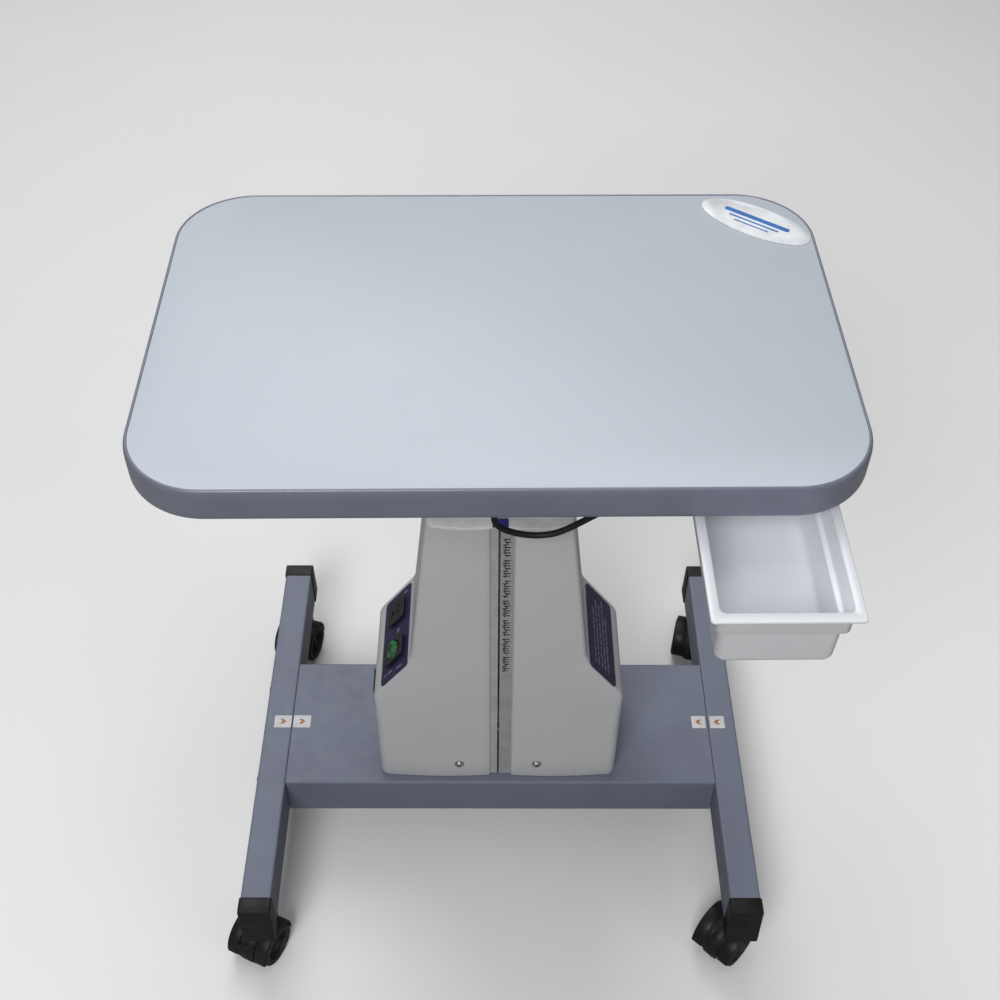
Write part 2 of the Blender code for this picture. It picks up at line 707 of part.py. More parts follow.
def make_shroud_screw(end, side):
    """Pan-head screw through the shroud wall into the tab on the base."""
    wall = shroud_front(0.0225) - SHROUD_BULGE * 0.98 if end == "front" else shroud_back(0.0225)
    outward = ENDS[end]
    profile = [(0.0, 0.0022), (0.0026, 0.0019), (0.0041, 0.0008), (0.0043, 0.0),
               (0.0021, 0.0), (0.0021, -0.0150), (0.0, -0.0150)]
    screw = turned("screw", profile, 16)
    screw.data.transform(Matrix.Rotation(-outward * math.pi / 2, 4, "X"))
    screw.data.transform(Matrix.Translation((SIDES[side] * SHROUD_SCREW_X, wall + outward * GAP, SHROUD_SCREW_Z)))
    finish_part(screw, f"shroud_screw_{end}_{side}", STEEL, 0.3, 1.0, True)


def make_panels():
    low, high = 0.0009, 0.0021
    for side, name in (("left", "socket_panel"), ("right", "label_panel")):
        panel = slope_box(name, side, PANEL_UP, PANEL_Y, PANEL_SIZE, low, high)
        if side == "left":
            cut(
                panel,
                slope_box("hole", side, SOCKET_UP, SOCKET_Y, [s - 0.0034 for s in SOCKET_SIZE], -0.01, 0.01),
                slope_box("hole", side, SWITCH_UP, SWITCH_Y, [s - 0.0034 for s in SWITCH_SIZE], -0.01, 0.01),
            )
        finish_part(panel, name, PANEL_BLUE, 0.4)


def make_outlet_socket():
    """Three-pin outlet: a flanged block that drops through the panel."""
    side, up, y = "left", SOCKET_UP, SOCKET_Y
    inner = [s - 0.0042 for s in SOCKET_SIZE]
    flange = slope_box("flange", side, up, y, SOCKET_SIZE, 0.0024, 0.0044, 0.0006)
    body = slope_box("body", side, up, y, inner, -0.018, 0.003)
    join(flange, body)
    slots = []
    for du, dv, long_u in ((0.0055, -0.0045, True), (0.0055, 0.0045, True), (-0.0060, 0.0, False)):
        size = (0.0062, 0.0022) if long_u else (0.0048, 0.0048)
        slots.append(slope_box("slot", side, up + du, y + dv, size, -0.008, 0.010))
    cut(flange, *slots)
    finish_part(flange, "outlet_socket", CAP_BLACK, 0.5)


def make_power_switch():
    side, up, y = "left", SWITCH_UP, SWITCH_Y
    inner = [s - 0.0042 for s in SWITCH_SIZE]
    bezel = slope_box("flange", side, up, y, SWITCH_SIZE, 0.0024, 0.0046, 0.0006)
    join(bezel, slope_box("body", side, up, y, inner, -0.016, 0.003))
    cut(bezel, slope_cylinder("bore", side, up, y, ROCKER_RADIUS + 0.0012, -0.0075, 0.010))
    finish_part(bezel, "power_switch_bezel", CAP_BLACK, 0.4)

    # The rocker turns about the line across the slope through its middle.
    rocker = cylinder("rocker", ROCKER_RADIUS, -0.0030, 0.0030, "z", (0, 0), 28)
    dish = cylinder("dish", 0.030, -0.02, 0.02, "x", (0, 0.0322), 48)
    cut(rocker, dish)
    rocker.data.transform(Matrix.Rotation(ROCKER_TILT, 4, "X"))
    frame = slope_frame(side, up, y) @ Matrix.Translation((0, 0, 0.0030))
    place(rocker, frame)
    finish_part(rocker, "power_rocker", SWITCH_GREEN, 0.3, 0.0, True)
    set_origin(rocker, frame.translation)


INLET_Y, INLET_Z = -0.034, RAIL_TOP + 0.112
INLET_SIZE = (0.028, 0.046)


def inlet_hole():
    return centred_box(
        "inlet_hole", (-SHROUD_BASE_HALF_WIDTH, INLET_Y, INLET_Z),
        (0.020, INLET_SIZE[0] - 0.0024, INLET_SIZE[1] - 0.0024),
    )


def make_power_inlet():
    """Mains inlet on the left wing: a flange outside and a body inside the wall."""
    face = -SHROUD_BASE_HALF_WIDTH
    half = [s / 2 for s in INLET_SIZE]
    flange = box("flange", (face - GAP - 0.0022, INLET_Y - half[0], INLET_Z - half[1]),
                 (face - GAP, INLET_Y + half[0], INLET_Z + half[1]), 0.001, 1)
    inside = [h - 0.0016 - 0.0003 for h in half]
    body = box("body", (face - 0.0015, INLET_Y - inside[0], INLET_Z - inside[1]),
               (face + 0.014, INLET_Y + inside[0], INLET_Z + inside[1]))
    join(flange, body)
    mouth_z = INLET_Z - 0.008
    mouth = box("mouth", (face - 0.01, INLET_Y - 0.010, mouth_z - 0.007),
                (face + 0.012, INLET_Y + 0.010, mouth_z + 0.007))
    cut(flange, mouth)
    pins = []
    for dy, dz in ((-0.005, -0.001), (0.005, -0.001), (0.0, 0.003)):
        pins.append(box("pin", (face + 0.001, INLET_Y + dy - 0.0012, mouth_z + dz - 0.0006),
                        (face + 0.0125, INLET_Y + dy + 0.0012, mouth_z + dz + 0.0006)))
    join(flange, *pins)
    finish_part(flange, "power_inlet", CAP_BLACK, 0.45)


# ---------------------------------------------------------------- drive and column
WORM_Y = COLUMN_Y - (WORM_WHEEL_RADIUS + WORM_RADIUS + 0.0004)


def make_gearbox():
    low_z = RAIL_TOP + GAP
    high_z = low_z + GEARBOX_HEIGHT
    half_x, half_y = GEARBOX_HALF
    housing = box("housing", (-half_x, COLUMN_Y - half_y, low_z), (half_x, COLUMN_Y + half_y, high_z), 0.004, 2)
    cut(
        housing,
        cylinder("wheel_room", WORM_WHEEL_RADIUS + 0.002, GEAR_Z - 0.008, high_z + 0.01, "z", (0, COLUMN_Y), 32),
        cylinder("worm_room", WORM_RADIUS + 0.001, -half_x + 0.006, half_x + 0.01, "x", (WORM_Y, GEAR_Z), 24),
        cylinder("bearing_seat", 0.0143, low_z + 0.005, GEAR_Z, "z", (0, COLUMN_Y), 28),
    )
    finish_part(housing, "gearbox_housing", CAST_ALUMINIUM, 0.5, 0.9)

    lid = box("lid", (-half_x, COLUMN_Y - half_y, high_z + GAP), (half_x, COLUMN_Y + half_y, high_z + 0.006), 0.001, 1)
    cut(lid, cylinder("screw_hole", SCREW_RADIUS + 0.0008, high_z - 0.01, high_z + 0.02, "z", (0, COLUMN_Y), 28))
    finish_part(lid, "gearbox_cover", CAST_ALUMINIUM, 0.5, 0.9)

    bearing = cylinder("bearing", 0.0140, low_z + 0.0053, GEAR_Z - 0.0085, "z", (0, COLUMN_Y), 28)
    cut(bearing, cylinder("bore", 0.0063, low_z, GEAR_Z, "z", (0, COLUMN_Y), 24))
    finish_part(bearing, "screw_bearing", STEEL, 0.3, 1.0, True)


def make_lead_screw():
    """Lead screw on the column's axis; its thread stands as its outer cylinder."""
    foot = RAIL_TOP + GAP + 0.0056
    screw = turned(
        "screw",
        [
            (0.0, SCREW_TOP), (SCREW_RADIUS - 0.0015, SCREW_TOP), (SCREW_RADIUS, SCREW_TOP - 0.0015),
            (SCREW_RADIUS, GEAR_Z + 0.0075), (0.0060, GEAR_Z + 0.0075), (0.0060, foot), (0.0, foot),
        ],
        24,
    )
    screw.data.transform(Matrix.Translation((0, COLUMN_Y, 0)))
    finish_part(screw, "lead_screw", STEEL, 0.3, 1.0, True)
    set_origin(screw, (0, COLUMN_Y, GEAR_Z))


def make_worm_wheel():
    """Bronze worm wheel; a plain trapezoid stands for each tooth."""
    outline = []
    pitch = 2 * math.pi / WORM_WHEEL_TEETH
    root = WORM_WHEEL_RADIUS - 0.003
    for tooth in range(WORM_WHEEL_TEETH):
        for part, radius in ((-0.32, root), (-0.18, WORM_WHEEL_RADIUS), (0.18, WORM_WHEEL_RADIUS), (0.32, root)):
            angle = (tooth + part) * pitch
            outline.append((radius * math.cos(angle), COLUMN_Y + radius * math.sin(angle)))
    wheel = loft("wheel", [at_height(outline, GEAR_Z - 0.006), at_height(outline, GEAR_Z + 0.006)])
    cut(wheel, cylinder("bore", 0.0063, GEAR_Z - 0.02, GEAR_Z + 0.02, "z", (0, COLUMN_Y), 24))
    finish_part(wheel, "worm_wheel", BRASS, 0.35, 1.0)
    set_origin(wheel, (0, COLUMN_Y, GEAR_Z))


def make_motor():
    """Motor can beside the gearbox with the worm shaft along its axis."""
    start = GEARBOX_HALF[0] + GAP
    can = cylinder("can", MOTOR_RADIUS, start, start + MOTOR_LENGTH, "x", (WORM_Y, GEAR_Z), 32)
    bore = cylinder("bore", 0.0052, start - 0.01, start + MOTOR_LENGTH - 0.012, "x", (WORM_Y, GEAR_Z), 20)
    cut(can, bore)
    finish_part(can, "lift_motor", STEEL, 0.35, 0.9, True)

    worm = cylinder("worm", WORM_RADIUS, -0.018, 0.018, "x", (WORM_Y, GEAR_Z), 24)
    shaft = cylinder("shaft", 0.0045, -0.0415, start + MOTOR_LENGTH - 0.0125, "x", (WORM_Y, GEAR_Z), 20)
    join(worm, shaft)
    finish_part(worm, "worm_shaft", STEEL, 0.3, 1.0, True)
    set_origin(worm, (0, WORM_Y, GEAR_Z))


def make_electrics():
    """Transformer and control board in the left wing."""
    low_z = RAIL_TOP + GAP
    core = box("core", (-0.122, -0.052, low_z), (-0.074, -0.004, low_z + 0.042), 0.001, 1)
    coil = box("coil", (-0.118, -0.062, low_z + 0.008), (-0.078, 0.006, low_z + 0.034), 0.004, 2)
    join(core, coil)
    finish_part(core, "transformer", COPPER, 0.5)

    board = box("board", (-0.118, 0.012, low_z + 0.050), (-0.072, 0.0136, low_z + 0.110))
    parts_on = [
        box("relay", (-0.112, 0.0006, low_z + 0.060), (-0.096, 0.0126, low_z + 0.078)),
        box("heat_sink", (-0.090, 0.0036, low_z + 0.056), (-0.078, 0.0126, low_z + 0.090)),
        box("connector", (-0.114, 0.0046, low_z + 0.096), (-0.084, 0.0126, low_z + 0.104)),
        box("foot", (-0.116, 0.012, low_z), (-0.074, 0.0136, low_z + 0.052)),
        box("foot_plate", (-0.116, 0.012, low_z), (-0.074, 0.024, low_z + 0.0016)),
    ]
    join(board, *parts_on)
    finish_part(board, "control_board", BOARD_GREEN, 0.5)


def make_column():
    middle = (0, COLUMN_Y)
    foot_z = RAIL_TOP + GAP + GEARBOX_HEIGHT + 0.006 + GAP
    outer = rect_tube("outer", OUTER_TUBE, OUTER_TUBE_WALL, foot_z + 0.002, OUTER_TUBE_TOP, middle)
    flange = box("flange", (-0.047, COLUMN_Y - 0.044, foot_z), (0.047, COLUMN_Y + 0.044, foot_z + 0.005), 0.001, 1)
    cut(flange, centred_box("well", (0, COLUMN_Y, foot_z), (OUTER_TUBE[0] - 0.006, OUTER_TUBE[1] - 0.006, 0.03)))
    join(outer, flange)
    finish_part(outer, "column_outer_tube", STEEL, 0.45, 0.8)

    inner = rect_tube("inner", INNER_TUBE, INNER_TUBE_WALL, INNER_TUBE_BOTTOM, BOARD_BOTTOM - 0.0046, middle, 0.003)
    finish_part(inner, "column_inner_tube", STEEL, 0.4, 0.8)

    room = [(a - 2 * OUTER_TUBE_WALL - 2 * GAP) for a in OUTER_TUBE]
    fit = [a + 2 * GAP for a in INNER_TUBE]
    bush_wall = (room[1] - fit[1]) / 2
    bush = rect_tube("bush", room, bush_wall, OUTER_TUBE_TOP - 0.025, OUTER_TUBE_TOP + 0.001, middle, 0.0034)
    lip = rect_tube("lip", (OUTER_TUBE[0] + 0.003, OUTER_TUBE[1] + 0.003), (OUTER_TUBE[1] + 0.003 - fit[1]) / 2,
                    OUTER_TUBE_TOP + GAP, OUTER_TUBE_TOP + 0.004, middle, 0.004)
    join(bush, lip)
    finish_part(bush, "column_guide_bush", NYLON, 0.6)

    shoe = rect_tube("shoe", room, bush_wall, INNER_TUBE_BOTTOM + 0.002, INNER_TUBE_BOTTOM + 0.032, middle, 0.0034)
    finish_part(shoe, "column_guide_shoe", NYLON, 0.6)

    inside = [a - 2 * INNER_TUBE_WALL - 2 * GAP for a in INNER_TUBE]
    nut = centred_box("nut", (0, COLUMN_Y, INNER_TUBE_BOTTOM + 0.004), (inside[0], inside[1], 0.008), 0.001, 1)
    join(nut, cylinder("barrel", 0.0140, INNER_TUBE_BOTTOM, INNER_TUBE_BOTTOM + 0.026, "z", middle, 28))
    cut(nut, cylinder("bore", SCREW_RADIUS + 0.0006, INNER_TUBE_BOTTOM - 0.01, INNER_TUBE_BOTTOM + 0.05, "z",
                      middle, 28))
    finish_part(nut, "lift_nut", BRASS, 0.35, 1.0)

    cover = rect_tube("cover", COVER_SIZE, COVER_WALL, COVER_BOTTOM, BOARD_BOTTOM - 0.0046, middle, 0.006)
    finish_part(cover, "column_cover", SHROUD_GREY, 0.45)


def make_top_bracket():
    """Steel plate under the board with a socket welded round the inner tube."""
    high_z = BOARD_BOTTOM - GAP
    plate = box("plate", (-0.100, COLUMN_Y - 0.075, high_z - 0.004), (0.100, COLUMN_Y + 0.075, high_z), 0.0012, 1)
    fit = [a + 2 * GAP for a in INNER_TUBE]
    socket = rect_tube("socket", (fit[0] + 0.006, fit[1] + 0.006), 0.003, high_z - 0.040, high_z - 0.002,
                       (0, COLUMN_Y), 0.004)
    join(plate, socket)
    finish_part(plate, "top_bracket", POWDER_GREY, 0.5)


# ---------------------------------------------------------------- tabletop
BOARD_FIELD_X = 0.185              # half width of the free field in the middle of the board


def divide_across(made, half_x):
    """Divide the board's faces at x = -half_x and +half_x, so that the badge stands on a field of its own."""
    bm = bmesh.new()
    bm.from_mesh(made.data)
    for x in (-half_x, half_x):
        geometry = bm.verts[:] + bm.edges[:] + bm.faces[:]
        bmesh.ops.bisect_plane(bm, geom=geometry, dist=0.000001, plane_co=(x, 0, 0), plane_no=(1, 0, 0))
    bm.to_mesh(made.data)
    bm.free()


def make_tabletop():
    steps = 10
    half_x, half_y = TOP_WIDTH / 2, TOP_DEPTH / 2
    board_inset = BAND_WIDTH + GAP

    def outline(inset):
        return rounded_rectangle(half_x - inset, half_y - inset, TOP_CORNER - inset, steps)

    top = TOP_HEIGHT - 0.0004
    board = loft(
        "board",
        [
            at_height(outline(board_inset), BOARD_BOTTOM),
            at_height(outline(board_inset), top - 0.0005),
            at_height(outline(board_inset + 0.0005), top),
        ],
    )
    divide_across(board, BOARD_FIELD_X)
    finish_part(board, "tabletop_board", BOARD_GREY, 0.35)

    low, high = BOARD_BOTTOM - 0.0002, TOP_HEIGHT
    section = [(BAND_WIDTH, high - 0.0008), (BAND_WIDTH - 0.0010, high)]
    section += [(0.0032, high), (0.0012, high - 0.0008), (0.0003, high - 0.0026), (0.0, high - 0.0060)]
    section += [(0.0, low + 0.0060), (0.0003, low + 0.0026), (0.0012, low + 0.0008), (0.0032, low)]
    section += [(BAND_WIDTH, low)]
    band = ring_loft("band", [at_height(outline(inset), z) for inset, z in section])
    finish_part(band, "edge_band", BAND_GREY, 0.45, 0.0, True)

    badge_outline = []
    turn = math.radians(BADGE_TURN)
    for i in range(40):
        angle = 2 * math.pi * i / 40
        x, y = BADGE_LENGTH / 2 * math.cos(angle), BADGE_WIDTH / 2 * math.sin(angle)
        badge_outline.append(
            (
                BADGE_PLACE[0] + x * math.cos(turn) - y * math.sin(turn),
                BADGE_PLACE[1] + x * math.sin(turn) + y * math.cos(turn),
            )
        )
    badge = loft("badge", [at_height(badge_outline, top + GAP), at_height(badge_outline, top + GAP + 0.0006)])
    finish_part(badge, "badge_plate", (0.75, 0.78, 0.82, 1), 0.3)


# ---------------------------------------------------------------- drawer
def tray_outline(inset, radius, steps=4):
    """Outline of the tray at an inset from its flange; inside the flange the front is set back by the grip."""
    grip = DRAWER_GRIP if inset >= DRAWER_RIM else 0.0
    middle = (DRAWER_X, DRAWER_FRONT + (DRAWER_LENGTH + grip) / 2)
    half_length = (DRAWER_LENGTH - grip) / 2
    return rounded_rectangle(DRAWER_WIDTH / 2 - inset, half_length - inset, radius, steps, middle)


def make_drawer_tray():
    """Moulded tray with a flat flange, a step below it, and tapered walls."""
    rim, floor = DRAWER_RIM_Z, DRAWER_RIM_Z - DRAWER_DEPTH
    wall = DRAWER_WALL
    under = rim - DRAWER_RIM_THICKNESS
    step = under - 0.0120
    outside = [
        (0.0005, 0.0035, rim), (0.0, 0.004, rim - 0.0006), (0.0, 0.004, under + 0.0004), (0.0004, 0.004, under),
        (DRAWER_RIM, 0.006, under), (DRAWER_RIM, 0.006, step), (DRAWER_RIM + 0.0008, 0.006, step - 0.0010),
        (DRAWER_RIM + 0.0024, 0.007, step - 0.0016), (DRAWER_RIM + 0.0030, 0.007, step - 0.0030),
        (DRAWER_RIM + 0.0046, 0.009, floor + 0.0050),
        (DRAWER_RIM + 0.0060, 0.009, floor + 0.0015), (DRAWER_RIM + 0.0095, 0.008, floor),
    ]
    inner = DRAWER_RIM + wall
    inside = [
        (inner + 0.0085, 0.007, floor + wall), (inner + 0.0058, 0.007, floor + wall + 0.0014),
        (inner + 0.0045, 0.007, floor + wall + 0.0045),
        (inner + 0.0029, 0.006, step - 0.0026), (inner + 0.0022, 0.006, step - 0.0010),
        (inner + 0.0006, 0.005, step - 0.0004), (inner, 0.005, step + 0.0008),
        (inner, 0.005, rim - 0.0012), (inner - 0.0008, 0.005, rim),
    ]
    rings = [at_height(tray_outline(inset, radius), z) for inset, radius, z in outside]
    rings += [at_height(tray_outline(inset, radius), z) for inset, radius, z in inside]
    tray = tray_surface("tray", rings, len(outside))
    finish_part(tray, "drawer_tray", TRAY_WHITE, 0.25)


def tray_surface(name, rings, outside_count):
    """Rings from the rim down the outside, across the floor, and up the inside to the rim."""
    bm = bmesh.new()
    loops = [[bm.verts.new(p) for p in ring] for ring in rings]
    count = len(rings[0])
    for k, lower in enumerate(loops):
        upper = loops[(k + 1) % len(loops)]
        if k == outside_count - 1:
            continue
        for i in range(count):
            j = (i + 1) % count
            bm.faces.new((lower[i], lower[j], upper[j], upper[i]))
    bm.faces.new(loops[outside_count - 1])
    bm.faces.new(loops[outside_count])
    return add_object(name, mesh_from(bm, name), helpers)


RUNNER_BACK = 0.092
RUNNER_FRONT = -0.150


def make_drawer_runner(side):
    """Z-section steel runner: a foot under the board, a web and a ledge under the tray's rim."""
    sign = SIDES[side]
    edge = DRAWER_X + sign * DRAWER_WIDTH / 2
    thickness = 0.0015
    top = BOARD_BOTTOM - GAP
    ledge_top = DRAWER_RIM_Z - DRAWER_RIM_THICKNESS - 0.0004
    web_inner = edge + sign * 0.0012
    web_outer = web_inner + sign * thickness
    ledge_inner = edge - sign * (DRAWER_RIM - 0.0006)
    foot_outer = web_outer + sign * 0.012
    section = [
        (ledge_inner, ledge_top - thickness), (web_outer, ledge_top - thickness),
        (web_outer, top - thickness), (foot_outer, top - thickness), (foot_outer, top),
        (web_inner, top), (web_inner, ledge_top), (ledge_inner, ledge_top),
    ]
    runner = loft("runner", [[(x, y, z) for x, z in section] for y in (RUNNER_FRONT, RUNNER_BACK)])
    finish_part(runner, f"drawer_runner_{side}", STEEL, 0.4, 0.8)


# ---------------------------------------------------------------- hand control
CONTROL_X = 0.110
CONTROL_FRONT = -0.172
CONTROL_SIZE = (0.050, 0.030, 0.021)


def make_hand_control():
    """Up and down switch in a box under the front edge of the board."""
    high_z = BOARD_BOTTOM - GAP
    low = (CONTROL_X - CONTROL_SIZE[0] / 2, CONTROL_FRONT, high_z - CONTROL_SIZE[2])
    high = (CONTROL_X + CONTROL_SIZE[0] / 2, CONTROL_FRONT + CONTROL_SIZE[1], high_z)
    case = box("case", low, high, 0.0015, 2)
    pivot = (CONTROL_X, CONTROL_FRONT + 0.0010, high_z - CONTROL_SIZE[2] / 2)
    cut(case, centred_box("window", pivot, (0.026, 0.014, 0.0160)))
    finish_part(case, "control_box", CAP_BLACK, 0.45)

    rocker = centred_box("rocker", (0, 0, 0), (0.0245, 0.0070, 0.0140), 0.0008, 1)
    dish = cylinder("dish", 0.020, -0.03, 0.03, "x", (-0.0225, 0), 40)
    cut(rocker, dish)
    rocker.data.transform(Matrix.Translation(pivot))
    finish_part(rocker, "control_rocker", (0.05, 0.05, 0.055, 1), 0.4)
    set_origin(rocker, pivot)


CABLE_RADIUS = 0.0030


def make_control_cable():
    """Cable that leaves the column head, hangs in front of the column and rises to the hand control."""
    hang_y = -0.095
    knots = [
        (-0.0105, -0.072, BOARD_BOTTOM - 0.006),
        (-0.0100, -0.086, 0.655),
        (-0.0090, hang_y, 0.600),
        (-0.0064, hang_y, 0.577),
        (0.0087, hang_y, 0.566),
        (0.0310, hang_y, 0.562),
        (0.0513, hang_y, 0.567),
        (0.0775, hang_y, 0.586),
        (0.0940, -0.104, 0.612),
        (0.1020, -0.118, 0.650),
        (CONTROL_X + TOP_X, -0.130, BOARD_BOTTOM - 0.012),
    ]
    curve = bpy.data.curves.new("cable", "CURVE")
    curve.dimensions = "3D"
    curve.bevel_depth = CABLE_RADIUS
    curve.bevel_resolution = 1
    curve.use_fill_caps = True
    spline = curve.splines.new("POLY")
    points = smooth_path([Vector(k) for k in knots], 3)
    spline.points.add(len(points) - 1)
    for point, place_at in zip(spline.points, points):
        point.co = (*place_at, 1)
    made = add_object("cable_curve", curve, helpers)
    bpy.context.view_layer.update()
    graph = bpy.context.evaluated_depsgraph_get()
    mesh = bpy.data.meshes.new_from_object(made.evaluated_get(graph))
    bm = bmesh.new()
    bm.from_mesh(mesh)
    bmesh.ops.remove_doubles(bm, verts=bm.verts, dist=0.00001)
    cable = add_object("cable", mesh_from(bm, "cable"), helpers)
    bpy.data.objects.remove(made, do_unlink=True)
    finish_part(cable, "control_cable", CAP_BLACK, 0.5, 0.0, True)


def smooth_path(knots, per_span):
    """Catmull-Rom points through the knots."""
    points = []
    padded = [2 * knots[0] - knots[1], *knots, 2 * knots[-1] - knots[-2]]
    for a, b, c, d in zip(padded, padded[1:], padded[2:], padded[3:]):
        for i in range(per_span):
            t = i / per_span
            points.append(
                0.5 * (2 * b + (c - a) * t + (2 * a - 5 * b + 4 * c - d) * t ** 2
                       + (3 * b - a - 3 * c + d) * t ** 3)
            )
    points.append(knots[-1])
    return points


# ---------------------------------------------------------------- frames
COLUMN_PIECES = (
    "shroud_left", "shroud_right", "shroud_screw_front_left", "shroud_screw_front_right",
    "shroud_screw_rear_left", "shroud_screw_rear_right", "socket_panel", "label_panel",
    "outlet_socket", "power_switch_bezel", "power_rocker", "power_inlet", "gearbox_housing",
    "gearbox_cover", "screw_bearing", "lead_screw", "worm_wheel", "lift_motor", "worm_shaft",
    "transformer", "control_board", "column_outer_tube", "column_inner_tube", "column_guide_bush",
    "column_guide_shoe", "lift_nut", "column_cover", "top_bracket",
)
TOP_PIECES = (
    "tabletop_board", "edge_band", "badge_plate", "drawer_tray", "drawer_runner_left",
    "drawer_runner_right", "control_box", "control_rocker",
)


def mount_on(name, matrix, pieces):
    """Carry the pieces, drawn about their own middle, on an empty that sets their place."""
    frame = bpy.data.objects.new(name, None)
    frame.matrix_world = matrix
    helpers.objects.link(frame)
    for piece in pieces:
        piece.parent = frame


def named(piece_names):
    return [bpy.data.objects[piece_name] for piece_name in piece_names]


# ---------------------------------------------------------------- build
clear_scene()
parts = new_collection("instrument_table")
helpers = new_collection("cutters")
helpers.hide_render = True

make_base_channel()
for side_name in SIDES:
    make_rail(side_name)
    make_shroud(side_name)
    make_drawer_runner(side_name)
    for end_name in ENDS:
        make_rail_cap(end_name, side_name)
        make_rail_bolt(end_name, side_name)
        make_shroud_screw(end_name, side_name)
make_castors()
make_panels()
make_outlet_socket()
make_power_switch()
make_power_inlet()
make_gearbox()
make_lead_screw()
make_worm_wheel()
make_motor()
make_electrics()
make_column()
make_top_bracket()
make_tabletop()
make_drawer_tray()
make_hand_control()
make_control_cable()
mount_on("column_frame", Matrix.Translation((COLUMN_X, 0, 0)), named(COLUMN_PIECES))
mount_on(
    "top_frame",
    Matrix.Translation((TOP_X, 0, 0)) @ Matrix.Rotation(math.radians(TOP_TURN), 4, "Z"),
    named(TOP_PIECES),
)
mount_on(
    "table_frame",
    Matrix.Translation((-TABLE_MIDDLE[0], -TABLE_MIDDLE[1], 0)),
    [made for made in bpy.data.objects if made.parent is None],
)
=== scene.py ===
"""Looks of the motorised instrument table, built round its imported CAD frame."""

import json
import math

import bmesh
import bpy
from mathutils import Matrix, Vector


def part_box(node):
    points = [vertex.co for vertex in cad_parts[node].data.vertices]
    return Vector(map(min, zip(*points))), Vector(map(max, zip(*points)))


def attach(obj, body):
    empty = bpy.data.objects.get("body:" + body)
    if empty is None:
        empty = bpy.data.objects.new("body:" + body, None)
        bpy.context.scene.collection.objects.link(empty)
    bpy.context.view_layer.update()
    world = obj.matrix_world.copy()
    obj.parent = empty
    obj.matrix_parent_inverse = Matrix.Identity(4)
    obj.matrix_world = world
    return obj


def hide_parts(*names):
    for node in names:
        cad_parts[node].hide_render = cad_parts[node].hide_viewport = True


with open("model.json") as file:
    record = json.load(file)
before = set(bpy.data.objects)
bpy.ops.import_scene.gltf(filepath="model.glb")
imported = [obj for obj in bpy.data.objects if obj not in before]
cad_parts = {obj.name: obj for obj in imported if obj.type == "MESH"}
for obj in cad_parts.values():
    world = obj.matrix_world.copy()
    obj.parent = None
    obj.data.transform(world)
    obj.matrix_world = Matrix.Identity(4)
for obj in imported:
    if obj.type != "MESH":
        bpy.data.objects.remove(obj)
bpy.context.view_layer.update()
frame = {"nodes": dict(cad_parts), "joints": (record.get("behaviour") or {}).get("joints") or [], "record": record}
NODES = frame["nodes"]


# ---------------------------------------------------------------- places taken from the frame
def middle_of(node):
    low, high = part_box(node)
    return (low + high) / 2


def joint_named(name):
    return next(joint for joint in frame["joints"] if joint["name"] == name)


RAIL_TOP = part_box("rail_left")[1].z
COLUMN = middle_of("column_outer_tube")
COLUMN.z = RAIL_TOP
BOARD = middle_of("tabletop_board")
TOP_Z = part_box("tabletop_board")[1].z
BOARD_LOW_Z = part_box("tabletop_board")[0].z
DRAWER_AXIS = Vector(joint_named("drawer_slide")["axis"])
TOP_TURN = math.atan2(DRAWER_AXIS.x, -DRAWER_AXIS.y)
TOP_FRAME = Matrix.Translation((BOARD.x, BOARD.y, 0)) @ Matrix.Rotation(TOP_TURN, 4, "Z")
COLUMN_FRAME = Matrix.Translation(COLUMN)

RAIL_MIDDLE_X = (middle_of("rail_left").x + middle_of("rail_right").x) / 2

# Camera that sees the table as photographed, placed from the middle of the wheeled base
BASE_MIDDLE = (middle_of("rail_left") + middle_of("rail_right")) / 2
CAMERA_PLACE = (BASE_MIDDLE.x - 0.00989, BASE_MIDDLE.y - 0.89415, 1.45665)
CAMERA_DOWN = 0.81495             # the three angles are in radians
CAMERA_TURN = 0.00812
CAMERA_ROLL = 0.00854
CAMERA_FOCAL = 1.31693            # focal length over the picture's width
SENSOR_MM = 36.0

# Shroud, from the top of the base plate
SHROUD_HEIGHT = 0.410
BASE_HALF_WIDTH = 0.136
WING_HEIGHT = 0.148
NECK_HEIGHT = 0.209
NECK_HALF_WIDTH = 0.0931
TOP_HALF_WIDTH = 0.0715
BASE_HALF_DEPTH = 0.066
TOP_HALF_DEPTH = 0.046
LOBE_BULGE = 0.004
OPENING_HALF = (0.058, 0.035)
GROOVES = {-1: 0.009, 1: 0.015}      # width of the groove on the left and right of the seam
GROOVE_DEPTH = 0.003
SEAM = 0.0005
SHROUD_WALL = 0.0022
BEND_REACH = 0.0065
SHROUD_EDGE = 0.0014              # radius of the rounded top edge
NOTCH_DROP = 0.0050               # the groove's front edge stops this far below the top
LIP_RISE = 0.0012
TICK_SPANS = ((0.0034, 0.0108), (0.0052, 0.0112), (0.0034, 0.0090), (0.0040, 0.0112),
              (0.0034, 0.0100))

# Panels on the wings, measured up the slope and along Y
PANEL_UP, PANEL_Y, PANEL_HALF = 0.0425, -0.009, (0.026, 0.057)
MARK_LOW, MARK_HIGH = 0.00092, 0.00108

# Tabletop
BOARD_HALF = (0.300, 0.200)
BOARD_CORNER = 0.070
BOARD_RISE = 0.0004
BAND_WIDTH = 0.0038
BADGE_HALF = (0.0565, 0.023)

# Tray
TRAY_X, TRAY_FRONT, TRAY_LENGTH, TRAY_WIDTH = 0.2124, -0.2988, 0.280, 0.117
TRAY_RIM_Z, TRAY_DEPTH, TRAY_WALL = 0.692, 0.067, 0.0018
TRAY_RIM, TRAY_GRIP = 0.0066, 0.0015

# Rail end caps
CAP_EDGE, CAP_RAKE = 0.0012, 0.006

